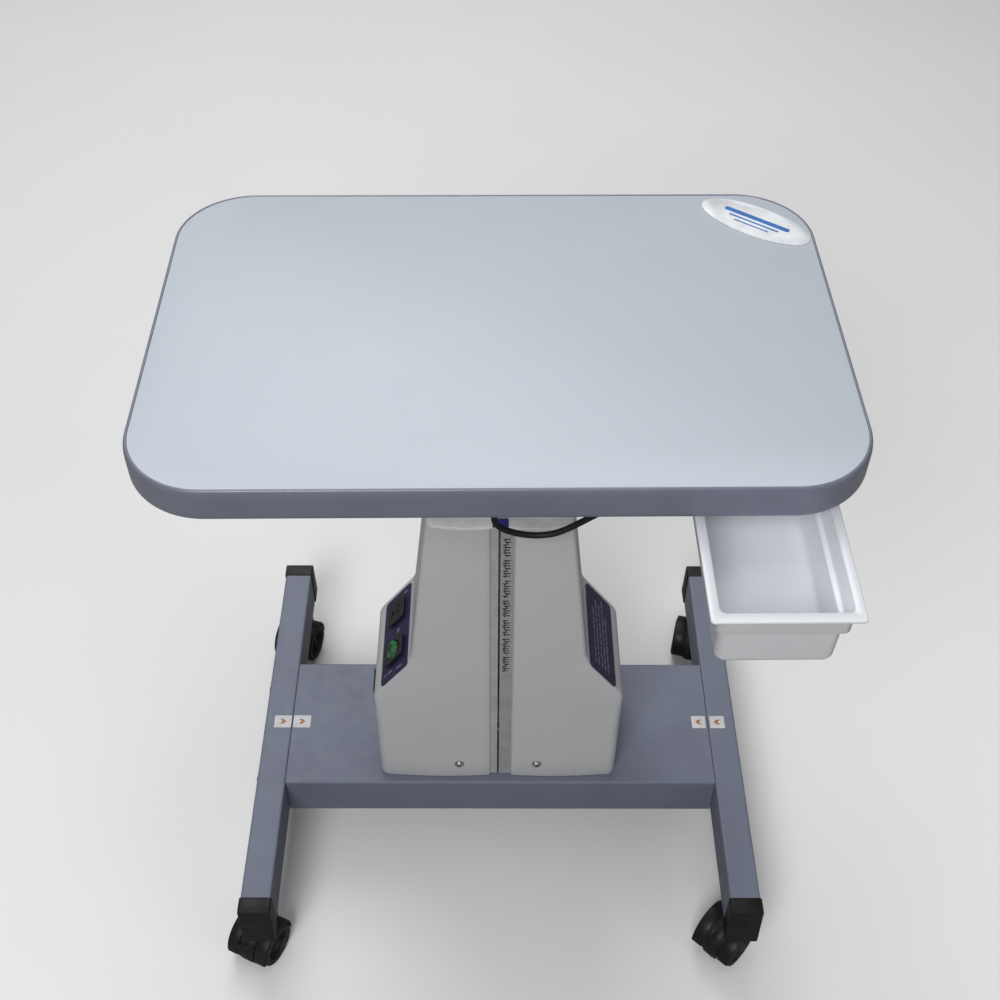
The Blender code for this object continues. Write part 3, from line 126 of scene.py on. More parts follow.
# Castors
WHEEL_RADIUS = 0.025
WHEEL_WIDTH = 0.0195
WHEEL_SHOULDER = 0.0032
WHEEL_INNER_X = 0.0065
CASTOR_TRAIL = 0.017
Z_TO_X = Matrix.Rotation(math.pi / 2, 4, "Y")
BLOCK_RADIUS = 0.0284             # rounded front and rear of the block between the wheels

# Cable
CABLE_RADIUS, CABLE_SIDES, CABLE_HANG_Y = 0.0030, 16, -0.095

# Studio
FLOOR_HALF = 6.0
FLOOR_BOUNCE = (0.30, 0.285, 0.27)
LIT_POINT = Vector((0, 0, 0.5))
ROOM_STRENGTH, BACKDROP_STRENGTH = 0.12, 0.62


# ---------------------------------------------------------------- material nodes
class Surface:
    """A Principled material with noise in its colour, roughness and relief."""

    def __init__(self, name, colour, roughness=0.5, metallic=0.0):
        self.material = bpy.data.materials.new(name)
        self.material.use_nodes = True
        self.tree = self.material.node_tree
        self.shader = self.tree.nodes["Principled BSDF"]
        self.shader.inputs["Base Color"].default_value = (*colour, 1)
        self.shader.inputs["Roughness"].default_value = roughness
        self.shader.inputs["Metallic"].default_value = metallic
        self.material.diffuse_color = (*colour, 1)
        self.colour_out = None
        self.colour = colour
        self.roughness = roughness
        self.place = self.tree.nodes.new("ShaderNodeTexCoord").outputs["Object"]
        self.normal_out = None

    def node(self, kind, **inputs):
        made = self.tree.nodes.new(kind)
        for key, value in inputs.items():
            made.inputs[key.replace("_", " ")].default_value = value
        return made

    def link(self, output, target):
        self.tree.links.new(output, target)

    def stretched(self, scale):
        mapping = self.node("ShaderNodeMapping")
        mapping.inputs["Scale"].default_value = scale
        self.link(self.place, mapping.inputs["Vector"])
        return mapping.outputs["Vector"]

    def noise(self, scale, detail, rough=0.5, stretch=None):
        made = self.node("ShaderNodeTexNoise", Scale=scale, Detail=detail, Roughness=rough)
        self.link(self.stretched(stretch) if stretch else self.place, made.inputs["Vector"])
        return made.outputs["Fac"]

    def ramp(self, value, low, high, out_low=0.0, out_high=1.0):
        made = self.node("ShaderNodeMapRange")
        made.inputs["From Min"].default_value = low
        made.inputs["From Max"].default_value = high
        made.inputs["To Min"].default_value = out_low
        made.inputs["To Max"].default_value = out_high
        self.link(value, made.inputs["Value"])
        return made.outputs["Result"]

    def mixed(self, factor, colour):
        """Lay a second colour over the present one by a 0..1 factor."""
        mix = self.tree.nodes.new("ShaderNodeMix")
        mix.data_type = "RGBA"
        if self.colour_out is None:
            mix.inputs["A"].default_value = (*self.colour, 1)
        else:
            self.link(self.colour_out, mix.inputs["A"])
        mix.inputs["B"].default_value = (*colour, 1)
        self.link(factor, mix.inputs["Factor"])
        self.colour_out = mix.outputs["Result"]
        return self

    def mottled(self, colour, scale, low=0.35, high=0.70, detail=3.0, stretch=None):
        return self.mixed(self.ramp(self.noise(scale, detail, 0.55, stretch), low, high), colour)

    def flecks(self, colour, scale, threshold, amount):
        value = self.noise(scale, 1.0)
        return self.mixed(self.ramp(value, threshold, threshold + 0.06, 0.0, amount), colour)

    def wear_and_highlight_edges(self, colour, radius, amount):
        """Lighter or darker edges, broken up by noise: partly edge wear, partly painted highlight on rounded edges
        that catch light.
        """
        bevel = self.node("ShaderNodeBevel", Radius=radius)
        bevel.samples = 4
        geometry = self.tree.nodes.new("ShaderNodeNewGeometry")
        dot = self.tree.nodes.new("ShaderNodeVectorMath")
        dot.operation = "DOT_PRODUCT"
        self.link(bevel.outputs["Normal"], dot.inputs[0])
        self.link(geometry.outputs["True Normal"], dot.inputs[1])
        edge = self.ramp(dot.outputs["Value"], 0.985, 0.90)
        breakup = self.ramp(self.noise(180.0, 4.0), 0.42, 0.62, 0.15, 1.0)
        both = self.tree.nodes.new("ShaderNodeMath")
        both.operation = "MULTIPLY"
        self.link(edge, both.inputs[0])
        self.link(breakup, both.inputs[1])
        scaled = self.tree.nodes.new("ShaderNodeMath")
        scaled.operation = "MULTIPLY"
        self.link(both.outputs[0], scaled.inputs[0])
        scaled.inputs[1].default_value = amount
        return self.mixed(scaled.outputs[0], colour)

    def rounded(self, radius):
        bevel = self.node("ShaderNodeBevel", Radius=radius)
        bevel.samples = 4
        self.normal_out = bevel.outputs["Normal"]
        return self

    def relief(self, scale, strength, distance, detail=2.0, stretch=None):
        bump = self.node("ShaderNodeBump", Strength=strength, Distance=distance)
        self.link(self.noise(scale, detail, 0.5, stretch), bump.inputs["Height"])
        if self.normal_out is not None:
            self.link(self.normal_out, bump.inputs["Normal"])
        self.normal_out = bump.outputs["Normal"]
        return self

    def gloss_spread(self, scale, spread, stretch=None):
        value = self.noise(scale, 3.0, 0.5, stretch)
        low, high = max(self.roughness - spread, 0.02), min(self.roughness + spread, 1.0)
        self.link(self.ramp(value, 0.3, 0.7, low, high), self.shader.inputs["Roughness"])
        return self

    def also(self, **inputs):
        for key, value in inputs.items():
            self.shader.inputs[key.replace("_", " ")].default_value = value
        return self

    def done(self):
        if self.colour_out is not None:
            self.link(self.colour_out, self.shader.inputs["Base Color"])
        if self.normal_out is not None:
            self.link(self.normal_out, self.shader.inputs["Normal"])
        return self.material


def powder_coat():
    made = Surface("powder_coat", (0.160, 0.178, 0.240), 0.50)
    made.mottled((0.146, 0.160, 0.216), 14.0).flecks((0.235, 0.255, 0.32), 1500.0, 0.62, 0.35)
    made.wear_and_highlight_edges((0.30, 0.31, 0.37), 0.0012, 0.35)
    made.rounded(0.0015).relief(1100.0, 0.28, 0.0002).gloss_spread(60.0, 0.07)
    return made.also(Specular_IOR_Level=0.35).done()


def shroud_paint():
    made = Surface("shroud_paint", (0.510, 0.520, 0.532), 0.42)
    made.mottled((0.490, 0.502, 0.518), 9.0).flecks((0.555, 0.56, 0.558), 1200.0, 0.64, 0.3)
    made.relief(520.0, 0.16, 0.0003).relief(60.0, 0.05, 0.0006).gloss_spread(40.0, 0.06)
    return made.also(Coat_Weight=0.15, Coat_Roughness=0.3).done()


def laminate():
    made = Surface("board_laminate", (0.474, 0.519, 0.574), 0.60)
    made.mottled((0.470, 0.512, 0.566), 7.0).flecks((0.53, 0.58, 0.64), 1600.0, 0.63, 0.35)
    made.flecks((0.42, 0.462, 0.515), 1250.0, 0.67, 0.30)
    made.relief(1400.0, 0.10, 0.0001).relief(70.0, 0.03, 0.0003).gloss_spread(22.0, 0.05)
    return made.done()


def band_plastic():
    made = Surface("band_plastic", (0.158, 0.172, 0.228), 0.34)
    made.mottled((0.144, 0.156, 0.206), 20.0)
    # Lighter band edges: wear, and a painted highlight on the rounded lip along the band's top.
    made.wear_and_highlight_edges((0.34, 0.36, 0.42), 0.001, 0.25)
    made.relief(700.0, 0.14, 0.0002).gloss_spread(35.0, 0.06)
    return made.also(Coat_Weight=0.1, Coat_Roughness=0.3).done()


def moulded_black(name, level, roughness, grain=900.0):
    made = Surface(name, (level, level, level * 1.1), roughness)
    made.mottled((level * 1.7, level * 1.7, level * 1.8), 45.0)
    made.wear_and_highlight_edges((0.07, 0.07, 0.075), 0.0008, 0.45)
    made.rounded(0.0009).relief(grain, 0.22, 0.0002).gloss_spread(80.0, 0.08)
    return made.also(Specular_IOR_Level=0.22).done()


def tread_rubber():
    made = Surface("tread_rubber", (0.020, 0.020, 0.020), 0.62)
    made.mottled((0.046, 0.045, 0.042), 90.0, 0.45, 0.75)
    made.flecks((0.10, 0.097, 0.092), 1500.0, 0.70, 0.4)
    made.relief(1300.0, 0.30, 0.0003).relief(160.0, 0.10, 0.0004).gloss_spread(70.0, 0.1)
    return made.also(Specular_IOR_Level=0.30).done()


# light scales the colour; above 1 it makes a painted-light copy of the same plastic.
def tray_plastic(name="tray_plastic", light=1.0):
    made = Surface(name, [light * c for c in (0.690, 0.705, 0.735)], 0.34)
    made.mottled([light * c for c in (0.665, 0.680, 0.712)], 12.0)
    made.relief(220.0, 0.05, 0.0003).gloss_spread(30.0, 0.05)
    return made.also(Coat_Weight=0.25, Coat_Roughness=0.12, Subsurface_Weight=0.04).done()


def brushed(name, colour, roughness, stretch, metallic=1.0):
    made = Surface(name, colour, roughness, metallic)
    darker = tuple(0.8 * c for c in colour)
    made.mottled(darker, 500.0, 0.35, 0.70, 3.0, stretch)
    made.rounded(0.0006).relief(900.0, 0.15, 0.0001, 2.0, stretch).gloss_spread(300.0, 0.1, stretch)
    return made.done()


def film(name, colour, roughness=0.3):
    made = Surface(name, colour, roughness)
    made.mottled(tuple(0.82 * c for c in colour), 60.0)
    made.relief(800.0, 0.06, 0.0001).gloss_spread(90.0, 0.05)
    return made.also(Coat_Weight=0.10, Coat_Roughness=0.3, Specular_IOR_Level=0.3).done()


def cast(name, colour):
    made = Surface(name, colour, 0.5, 0.9)
    made.mottled(tuple(0.75 * c for c in colour), 80.0)
    made.rounded(0.001).relief(600.0, 0.45, 0.0004).gloss_spread(120.0, 0.12)
    return made.done()


def plain_plastic(name, colour, roughness, grain=500.0):
    made = Surface(name, colour, roughness)
    made.mottled(tuple(0.85 * c for c in colour), 50.0)
    made.rounded(0.0006).relief(grain, 0.15, 0.0002).gloss_spread(70.0, 0.07)
    return made.done()


def switch_green():
    made = Surface("switch_green", (0.004, 0.030, 0.012), 0.24)
    # The bright green mottle is painted highlight: the colour of the rocker's lit curve, spread over the dark
    # green.
    made.mottled((0.010, 0.22, 0.055), 140.0, 0.44, 0.60)
    made.relief(300.0, 0.10, 0.0003).gloss_spread(90.0, 0.05)
    return made.also(Specular_IOR_Level=0.4, Coat_Weight=0.3).done()


ALONG_Z = (1.0, 1.0, 0.04)        # stretches the noise of drawn and turned metal
EVEN = (1, 1, 1)
LOOKS = {
    "powder_coat": powder_coat(),
    "shroud_grey": shroud_paint(),
    "board_top": laminate(),
    "band": band_plastic(),
    "cap_black": moulded_black("cap_plastic", 0.007, 0.42),
    "castor_black": moulded_black("castor_nylon", 0.009, 0.46, 700.0),
    "wheel_black": tread_rubber(),
    "socket_black": moulded_black("socket_plastic", 0.011, 0.36),
    "cable_black": moulded_black("cable_sheath", 0.010, 0.50, 1100.0),
    "black_fastener": moulded_black("black_steel", 0.016, 0.32),
    "tray_white": tray_plastic(),
    "fastener": brushed("zinc_steel", (0.56, 0.56, 0.55), 0.30, EVEN),
    "drive_steel": brushed("turned_steel", (0.55, 0.55, 0.56), 0.28, ALONG_Z),
    "tube_steel": brushed("drawn_tube", (0.50, 0.50, 0.52), 0.36, ALONG_Z, 0.9),
    "bronze": brushed("bronze", (0.55, 0.38, 0.17), 0.32, EVEN),
    "cast_metal": cast("cast_aluminium", (0.45, 0.46, 0.47)),
    "nylon": plain_plastic("natural_nylon", (0.74, 0.72, 0.66), 0.55),
    "copper": plain_plastic("coil_and_iron", (0.34, 0.15, 0.06), 0.45, 260.0),
    "circuit": plain_plastic("circuit_board", (0.02, 0.15, 0.06), 0.40, 340.0),
    "panel_blue": film("panel_film", (0.022, 0.018, 0.070), 0.5),
    "badge": film("badge_white", (0.78, 0.80, 0.83)),
    "switch_green": switch_green(),
}
MARK_WHITE = film("mark_white", (0.24, 0.24, 0.34), 0.5)
# Pale grey of the shroud's top lip: painted highlight, lighter than the shroud paint where the lip's top catches
# light.
LIP_PAINTED_HIGHLIGHT = film("lip_painted_highlight", (0.76, 0.77, 0.76), 0.4)
SEAM_LEFT = film("seam_strip_light", (0.400, 0.405, 0.410), 0.5)
SEAM_RIGHT = film("seam_strip_dark", (0.330, 0.335, 0.345), 0.5)
# Dark film for printed ticks and castor sockets, and painted shade in the screw heads' cross recesses.
DARK_MARK_AND_SHADE = film("dark_mark_and_painted_shade", (0.020, 0.020, 0.024), 0.5)
MARK_BLUE = film("mark_blue", (0.045, 0.16, 0.48), 0.35)
MARK_ORANGE = film("mark_orange", (0.42, 0.16, 0.05), 0.5)
STICKER_WHITE = film("sticker_white", (0.62, 0.62, 0.64), 0.5)
STRIPE_BLUE = film("stripe_blue", (0.030, 0.025, 0.26), 0.4)

SLOT_OF = {part["node"]: part["material_slot"] for part in frame["record"]["subparts"]}
for node_name, node_object in NODES.items():
    node_object.data.materials.clear()
    node_object.data.materials.append(LOOKS[SLOT_OF[node_name]])


# ---------------------------------------------------------------- mesh helpers
def mesh_from(bm, name):
    mesh = bpy.data.meshes.new(name)
    bm.to_mesh(mesh)
    bm.free()
    return mesh


def linked(name, data):
    made = bpy.data.objects.new(name, data)
    bpy.context.scene.collection.objects.link(made)
    return made


def piece(name, bm, look, body, replaced=(), smooth_angle=38.0):
    """Make an object from a bmesh, give it a look and let it ride on a body."""
    bmesh.ops.recalc_face_normals(bm, faces=bm.faces)
    if bm.calc_volume(signed=True) < 0:
        bmesh.ops.reverse_faces(bm, faces=bm.faces)
    mesh = mesh_from(bm, name)
    mesh.materials.append(look)
    mesh.shade_smooth()
    mesh.set_sharp_from_angle(angle=math.radians(smooth_angle))
    made = linked(name, mesh)
    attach(made, body)
    if replaced:
        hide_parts(*replaced)
    return made


def arc(centre, radius, start, end, steps):
    """Points of an arc, angles in degrees, both ends included."""
    angles = [math.radians(start + (end - start) * i / steps) for i in range(steps + 1)]
    return [(centre[0] + radius * math.cos(a), centre[1] + radius * math.sin(a)) for a in angles]


def rounded_rectangle(half_x, half_y, radius, steps=8, middle=(0.0, 0.0)):
    points = []
    for quarter, (sx, sy) in enumerate(((1, 1), (-1, 1), (-1, -1), (1, -1))):
        corner = (middle[0] + sx * (half_x - radius), middle[1] + sy * (half_y - radius))
        points += arc(corner, radius, 90 * quarter, 90 * quarter + 90, steps)
    return points


def bridge(bm, rings, closed_rings=True, closed_stack=False):
    """Faces between successive rings of equal point count; returns the vertex loops."""
    loops = [[bm.verts.new(point) for point in ring] for ring in rings]
    count = len(rings[0])
    pairs = list(zip(loops, loops[1:]))
    if closed_stack:
        pairs.append((loops[-1], loops[0]))
    for lower, upper in pairs:
        for i in range(count if closed_rings else count - 1):
            j = (i + 1) % count
            bm.faces.new((lower[i], lower[j], upper[j], upper[i]))
    return loops


def closed_loft(bm, rings):
    """A bridge with a face over each of its ends."""
    loops = bridge(bm, rings)
    bm.faces.new(list(reversed(loops[0])))
    bm.faces.new(loops[-1])


def plate_into(bm, outline, low, high, matrix, edge=0.0):
    """A flat plate with the given outline, its top edge turned in by edge."""
    rings = [[(x, y, low) for x, y in outline], [(x, y, high - edge) for x, y in outline]]
    if edge:
        mx = sum(x for x, y in outline) / len(outline)
        my = sum(y for x, y in outline) / len(outline)
        reach = max(math.hypot(x - mx, y - my) for x, y in outline)
        shrink = 1 - edge / reach
        rings.append([(mx + (x - mx) * shrink, my + (y - my) * shrink, high) for x, y in outline])
    closed_loft(bm, [[matrix @ Vector(p) for p in ring] for ring in rings])


def box_into(bm, low, high, matrix):
    outline = [(low[0], low[1]), (high[0], low[1]), (high[0], high[1]), (low[0], high[1])]
    plate_into(bm, outline, low[2], high[2], matrix)


def turned_into(bm, profile, steps, matrix):
    """Revolve (radius, z) points about Z; ends on the axis close the solid."""
    rings = []
    for radius, z in profile:
        angles = [2 * math.pi * i / steps for i in range(steps)] if radius > 1e-6 else [0.0]
        rings.append([bm.verts.new(matrix @ Vector((radius * math.cos(a), radius * math.sin(a), z)))
                      for a in angles])
    for lower, upper in zip(rings, rings[1:]):
        for i in range(steps):
            j = (i + 1) % steps
            corners = [ring[k % len(ring)]
                       for ring, k in ((lower, i), (lower, j), (upper, j), (upper, i))]
            bm.faces.new(list(dict.fromkeys(corners)))


# ---------------------------------------------------------------- shroud
def raw_half_width(height):
    if height <= WING_HEIGHT:
        return BASE_HALF_WIDTH
    if height <= NECK_HEIGHT:
        t = (height - WING_HEIGHT) / (NECK_HEIGHT - WING_HEIGHT)
        return BASE_HALF_WIDTH + (NECK_HALF_WIDTH - BASE_HALF_WIDTH) * t
    t = (height - NECK_HEIGHT) / (SHROUD_HEIGHT - NECK_HEIGHT)
    return NECK_HALF_WIDTH + (TOP_HALF_WIDTH - NECK_HALF_WIDTH) * t


def half_width(height):
    """Half width with its two bends rounded, as a running mean over BEND_REACH to either side."""
    if height > SHROUD_HEIGHT - 2 * BEND_REACH:
        return raw_half_width(height)
    samples = 4
    heights = [height + BEND_REACH * k / samples for k in range(-samples, samples + 1)]
    return sum(raw_half_width(h) for h in heights) / len(heights)


def half_depth(height):
    return BASE_HALF_DEPTH + (TOP_HALF_DEPTH - BASE_HALF_DEPTH) * height / SHROUD_HEIGHT


def rear_depth(height):
    """Half depth at the back: it stays full up to the neck, then tapers."""
    full = BASE_HALF_DEPTH - 0.0013 * min(height / 0.0265, 1.0)
    if height <= NECK_HEIGHT:
        return full
    return full + (TOP_HALF_DEPTH - full) * (height - NECK_HEIGHT) / (SHROUD_HEIGHT - NECK_HEIGHT)


def shroud_section(height, inset, groove_width, sign):
    """Half outline from the front seam to the back seam, and its count of points in the groove."""
    width, depth = half_width(height) - inset, half_depth(height) - inset
    rear = rear_depth(height) - inset
    sharper = min(max((height - 0.09) / 0.05, 0.0), 1.0)
    corner = max(0.0098 - 0.0048 * sharper - inset, 0.003)
    lobe_steps, wall_steps = 14, 6
    floor = -depth - LOBE_BULGE * 0.35 + GROOVE_DEPTH
    points = [(SEAM * 1.6, floor + 0.0006), (SEAM * 2.4, floor), (groove_width - 0.0006, floor)]
    points.append((groove_width - 0.0001, floor - 0.0003))
    in_groove = len(points)
    start, end = groove_width + 0.0012, width - corner
    points.append((groove_width + 0.0003, floor - GROOVE_DEPTH * 0.75))
    for i in range(lobe_steps + 1):
        t = i / lobe_steps
        bow = LOBE_BULGE * (0.35 + 1.9 * t * (1 - t) - 0.35 * t * t)
        points.append((start + (end - start) * t, -depth - bow))
    points += arc((width - corner, -depth + corner), corner, -90, 0, 8)[1:]
    points += [(width, -depth + corner + (depth + rear - 2 * corner) * k / wall_steps)
               for k in range(1, wall_steps)]
    points += arc((width - corner, rear - corner), corner, 0, 90, 8)
    points += [((width - corner) * (1 - k / wall_steps), rear) for k in range(1, wall_steps)]
    points += [(SEAM * 2.4, rear), (SEAM * 1.6, rear - 0.0006)]
    return [(sign * x, y) for x, y in points], in_groove


def shroud_half(side, sign):
    """One half's skin, lofted up through its two bends to the opening at the top."""
    heights = [0.0003, 0.0020, 0.03, 0.06, 0.09, 0.12, 0.134, 0.139, 0.142, 0.145, 0.148, 0.151]
    heights += [0.154, 0.158, 0.165, 0.173, 0.182, 0.191, 0.199, 0.2025, 0.206, 0.209, 0.212]
    heights += [0.2155, 0.22, 0.235, 0.26, 0.29, 0.32, 0.35, 0.38, 0.396, 0.404]
    levels = [(h, 0.0006 if h < 0.001 else 0.0) for h in heights]
    edge = SHROUD_EDGE
    for k in range(1, 6):
        angle = math.radians(18 * k)
        levels.append((SHROUD_HEIGHT - edge * (1 - math.sin(angle)), edge * (1 - math.cos(angle))))
    notch_floor = SHROUD_HEIGHT - NOTCH_DROP
    rings = []
    for height, inset in levels:
        outline, in_groove = shroud_section(height, inset, GROOVES[sign], sign)
        ring = []
        for i, (x, y) in enumerate(outline):
            z = min(height, notch_floor) if i < in_groove else height
            ring.append(COLUMN_FRAME @ Vector((x, y, z)))
        rings.append(ring)
    outline, in_groove = shroud_section(SHROUD_HEIGHT, edge, GROOVES[sign], sign)
    shrink_x = OPENING_HALF[0] / (TOP_HALF_WIDTH - edge)
    shrink_y = OPENING_HALF[1] / (TOP_HALF_DEPTH - edge)
    ring = []
    for i, (x, y) in enumerate(outline):
        near_seam = i < in_groove + 1
        z = notch_floor if i < in_groove else SHROUD_HEIGHT
        ring.append(COLUMN_FRAME @ Vector((x if near_seam else x * shrink_x, y * shrink_y, z)))
    rings.append(ring)
    bm = bmesh.new()
    bridge(bm, rings, closed_rings=False)
    bmesh.ops.recalc_face_normals(bm, faces=bm.faces)
    middle = COLUMN + Vector((0, 0, SHROUD_HEIGHT / 2))
    if sum(face.normal.dot(face.calc_center_median() - middle) for face in bm.faces) < 0:
        bmesh.ops.reverse_faces(bm, faces=bm.faces)
    mesh = mesh_from(bm, f"shroud_skin_{side}")
    mesh.materials.append(LOOKS["shroud_grey"])
    mesh.shade_smooth()
    made = linked(f"shroud_skin_{side}", mesh)
    shell = made.modifiers.new("wall", "SOLIDIFY")
    shell.thickness = SHROUD_WALL
    shell.offset = -1.0
    shell.use_quality_normals = True
    mesh.set_sharp_from_angle(angle=math.radians(42))
    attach(made, "base")
    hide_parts(f"shroud_{side}")


for shroud_side, shroud_sign in (("left", -1), ("right", 1)):
    shroud_half(shroud_side, shroud_sign)


def shroud_lips():
    """Flat rim along the front of each lobe, bowed outwards and standing a little proud."""
    top, low = SHROUD_HEIGHT + LIP_RISE, SHROUD_HEIGHT - 0.0026
    rear = -OPENING_HALF[1] - 0.0012
    corner, bow_steps = 0.0075, 18
    for side, sign, start in (("left", -1, 0.0069), ("right", 1, 0.0086)):
        end = TOP_HALF_WIDTH - 0.0085
        front = []
        for i in range(bow_steps + 1):
            t = i / bow_steps
            bow = 0.0006 + 0.0100 * t * (1 - t) - 0.0010 * t * t
            front.append((start + (end - start) * t, -TOP_HALF_DEPTH - bow - 0.0014))
        front += arc((end, front[-1][1] + corner), corner, -90, -8, 8)[1:]
        rings = []
        for x, y in front:
            section = [(rear, low), (y + 0.0005, low), (y, low + 0.0005), (y, top - 0.0012),
                       (y + 0.0003, top - 0.0004), (y + 0.0010, top), (rear, top)]
            rings.append([COLUMN_FRAME @ Vector((sign * x, at_y, z)) for at_y, z in section])
        bm = bmesh.new()
        closed_loft(bm, rings)
        # The lip takes the pale grey painted highlight, not the shroud paint.
        piece(f"shroud_lip_{side}", bm, LIP_PAINTED_HIGHLIGHT, "base")


shroud_lips()


def groove_front(height):
    """Y of the groove's floor, from the column's middle."""
    return -half_depth(height) - LOBE_BULGE * 0.35 + GROOVE_DEPTH


def seam_strips():
    """Thin covers on the groove's floor, on either side of the seam."""
    for side, sign, look in (("left", -1, SEAM_LEFT), ("right", 1, SEAM_RIGHT)):
        x0, x1 = sign * 0.0012, sign * (GROOVES[sign] - 0.0006)
        rings = []
        steps = 24
        for k in range(steps + 1):
            height = 0.004 + (SHROUD_HEIGHT - 0.0105) * k / steps
            y = groove_front(height)
            ring = [(x0, y + 0.0003), (x0, y - 0.0004), (x1, y - 0.0004), (x1, y + 0.0003)]
            rings.append([COLUMN_FRAME @ Vector((px, py, height)) for px, py in ring])
        bm = bmesh.new()
        closed_loft(bm, rings)
        piece(f"seam_strip_{side}", bm, look, "base")


seam_strips()


def shroud_screws():
    """Pan heads on washers, with a cross recess shown by two dark slots of painted shade."""
    washer = [(0.0, -0.0034), (0.0050, -0.0034), (0.0053, -0.0030), (0.0053, -0.0025),
              (0.0050, -0.0022), (0.0, -0.0022)]
    head = [(0.0, -0.0024), (0.0041, -0.0024), (0.0042, -0.0016), (0.0037, -0.0007),
            (0.0026, -0.0001), (0.0014, 0.0001), (0.0, 0.00015)]
    for end, outward in (("front", -1), ("rear", 1)):
        for side in ("left", "right"):
            low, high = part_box(f"shroud_screw_{end}_{side}")
            face = low.y if outward < 0 else high.y
            centre = Matrix.Translation(((low.x + high.x) / 2, face, (low.z + high.z) / 2))
            aim = centre @ Matrix.Rotation(math.radians(90 * -outward), 4, "X")
            bm = bmesh.new()
            turned_into(bm, washer, 28, aim)
            turned_into(bm, head, 28, aim)
            piece(f"screw_head_{end}_{side}", bm, LOOKS["fastener"], "base",
                  (f"shroud_screw_{end}_{side}",))
            # The dark slots are painted shade standing in for the shadowed cross recess.
            bm = bmesh.new()
            for quarter in (0.4, 0.4 + math.pi / 2):
                box_into(bm, (-0.0021, -0.00042, -0.0008), (0.0021, 0.00042, 0.00022),
                         aim @ Matrix.Rotation(quarter, 4, "Z"))
            piece(f"screw_recess_shade_{end}_{side}", bm, DARK_MARK_AND_SHADE, "base")


shroud_screws()


def slope_frame(sign, up, along_y):
    """Frame on a sloped wing top: x up the slope, y along +Y, z outwards."""
    rise, run = NECK_HEIGHT - WING_HEIGHT, BASE_HALF_WIDTH - NECK_HALF_WIDTH
    up_slope = Vector((-sign * run, 0, rise)).normalized()
    outwards = Vector((sign * rise, 0, run)).normalized()
    matrix = Matrix((up_slope, Vector((0, 1, 0)), outwards)).transposed().to_4x4()
    foot = Vector((COLUMN.x + sign * BASE_HALF_WIDTH, COLUMN.y + 0.008, RAIL_TOP + WING_HEIGHT))
    matrix.translation = foot + up_slope * up + Vector((0, along_y, 0))
    return matrix


def wing_panels():
    """Dark films on the two slopes, with plain bars where their printing would be."""
    for sign, name in ((-1, "socket_panel"), (1, "label_panel")):
        matrix = slope_frame(sign, PANEL_UP, PANEL_Y)
        bm = bmesh.new()
        outline = rounded_rectangle(*PANEL_HALF, 0.005, 6)
        plate_into(bm, outline, 0.0001, 0.0010, matrix, 0.0003)
        piece(f"{name}_film", bm, LOOKS["panel_blue"], "base", (name,))

    marks = bmesh.new()
    matrix = slope_frame(1, PANEL_UP, PANEL_Y)
    for row, length in enumerate((0.074, 0.090, 0.084, 0.092, 0.066)):
        x = 0.0140 - row * 0.0064
        step = 0.0
        k = 0
        while step < length:
            dash = 0.0040 + 0.0024 * ((k * 5 + row * 3) % 4)
            start = -0.046 + step
            end = min(start + dash, 0.050)
            box_into(marks, (x - 0.0007, start, MARK_LOW), (x + 0.0007, end, MARK_HIGH), matrix)
            step += dash + 0.0020
            k += 1
    piece("label_panel_bars", marks, MARK_WHITE, "base")

    marks = bmesh.new()
    matrix = slope_frame(-1, PANEL_UP, PANEL_Y)
    for x, y, length in ((0.004, 0.0032, 0.006), (0.004, 0.0000, 0.004), (-0.010, -0.0470, 0.012),
                         (-0.016, -0.0470, 0.009), (0.010, -0.0500, 0.010),
                         (0.016, 0.0490, 0.006)):
        low = (x - length / 2, y - 0.0009, MARK_LOW)
        high = (x + length / 2, y + 0.0009, MARK_HIGH)
        box_into(marks, low, high, matrix)
    piece("socket_panel_bars", marks, MARK_WHITE, "base")


wing_panels()


def strip_bars():
    """Plain ticks down the right side of the seam, where a printed strip would be."""
    bm = bmesh.new()
    height = 0.3905
    row = 0
    while height > 0.190:
        left, right = TICK_SPANS[row % len(TICK_SPANS)]
        if row % 8 != 7:
            front, back = groove_front(height) - 0.00075, groove_front(height) - 0.0002
            for x0, x1, low, high in ((left, right, 0.0012, 0.0),
                                      (left + 0.0014, left + 0.0029, 0.0029, 0.0016)):
                box_into(bm, (x0, front, height - low), (x1, back, height - high), COLUMN_FRAME)
        height -= 0.0037
        row += 1
    piece("seam_strip_bars", bm, DARK_MARK_AND_SHADE, "base")


strip_bars()


# ---------------------------------------------------------------- tabletop and band
def board_rings(section):
    """The board's outline at each (inset, height) of a section."""
    rings = []
    for inset, z in section:
        half_x, half_y = BOARD_HALF[0] - inset, BOARD_HALF[1] - inset
        outline = rounded_rectangle(half_x, half_y, BOARD_CORNER - inset, 22)
        rings.append([TOP_FRAME @ Vector((x, y, z)) for x, y in outline])
    return rings


def quarter_ellipse(centre, half, start):
    """Points of a quarter of an ellipse, its start in degrees, both ends included."""
    angles = [math.radians(start + 15 * k) for k in range(7)]
    return [(centre[0] + half[0] * math.cos(a), centre[1] + half[1] * math.sin(a)) for a in angles]


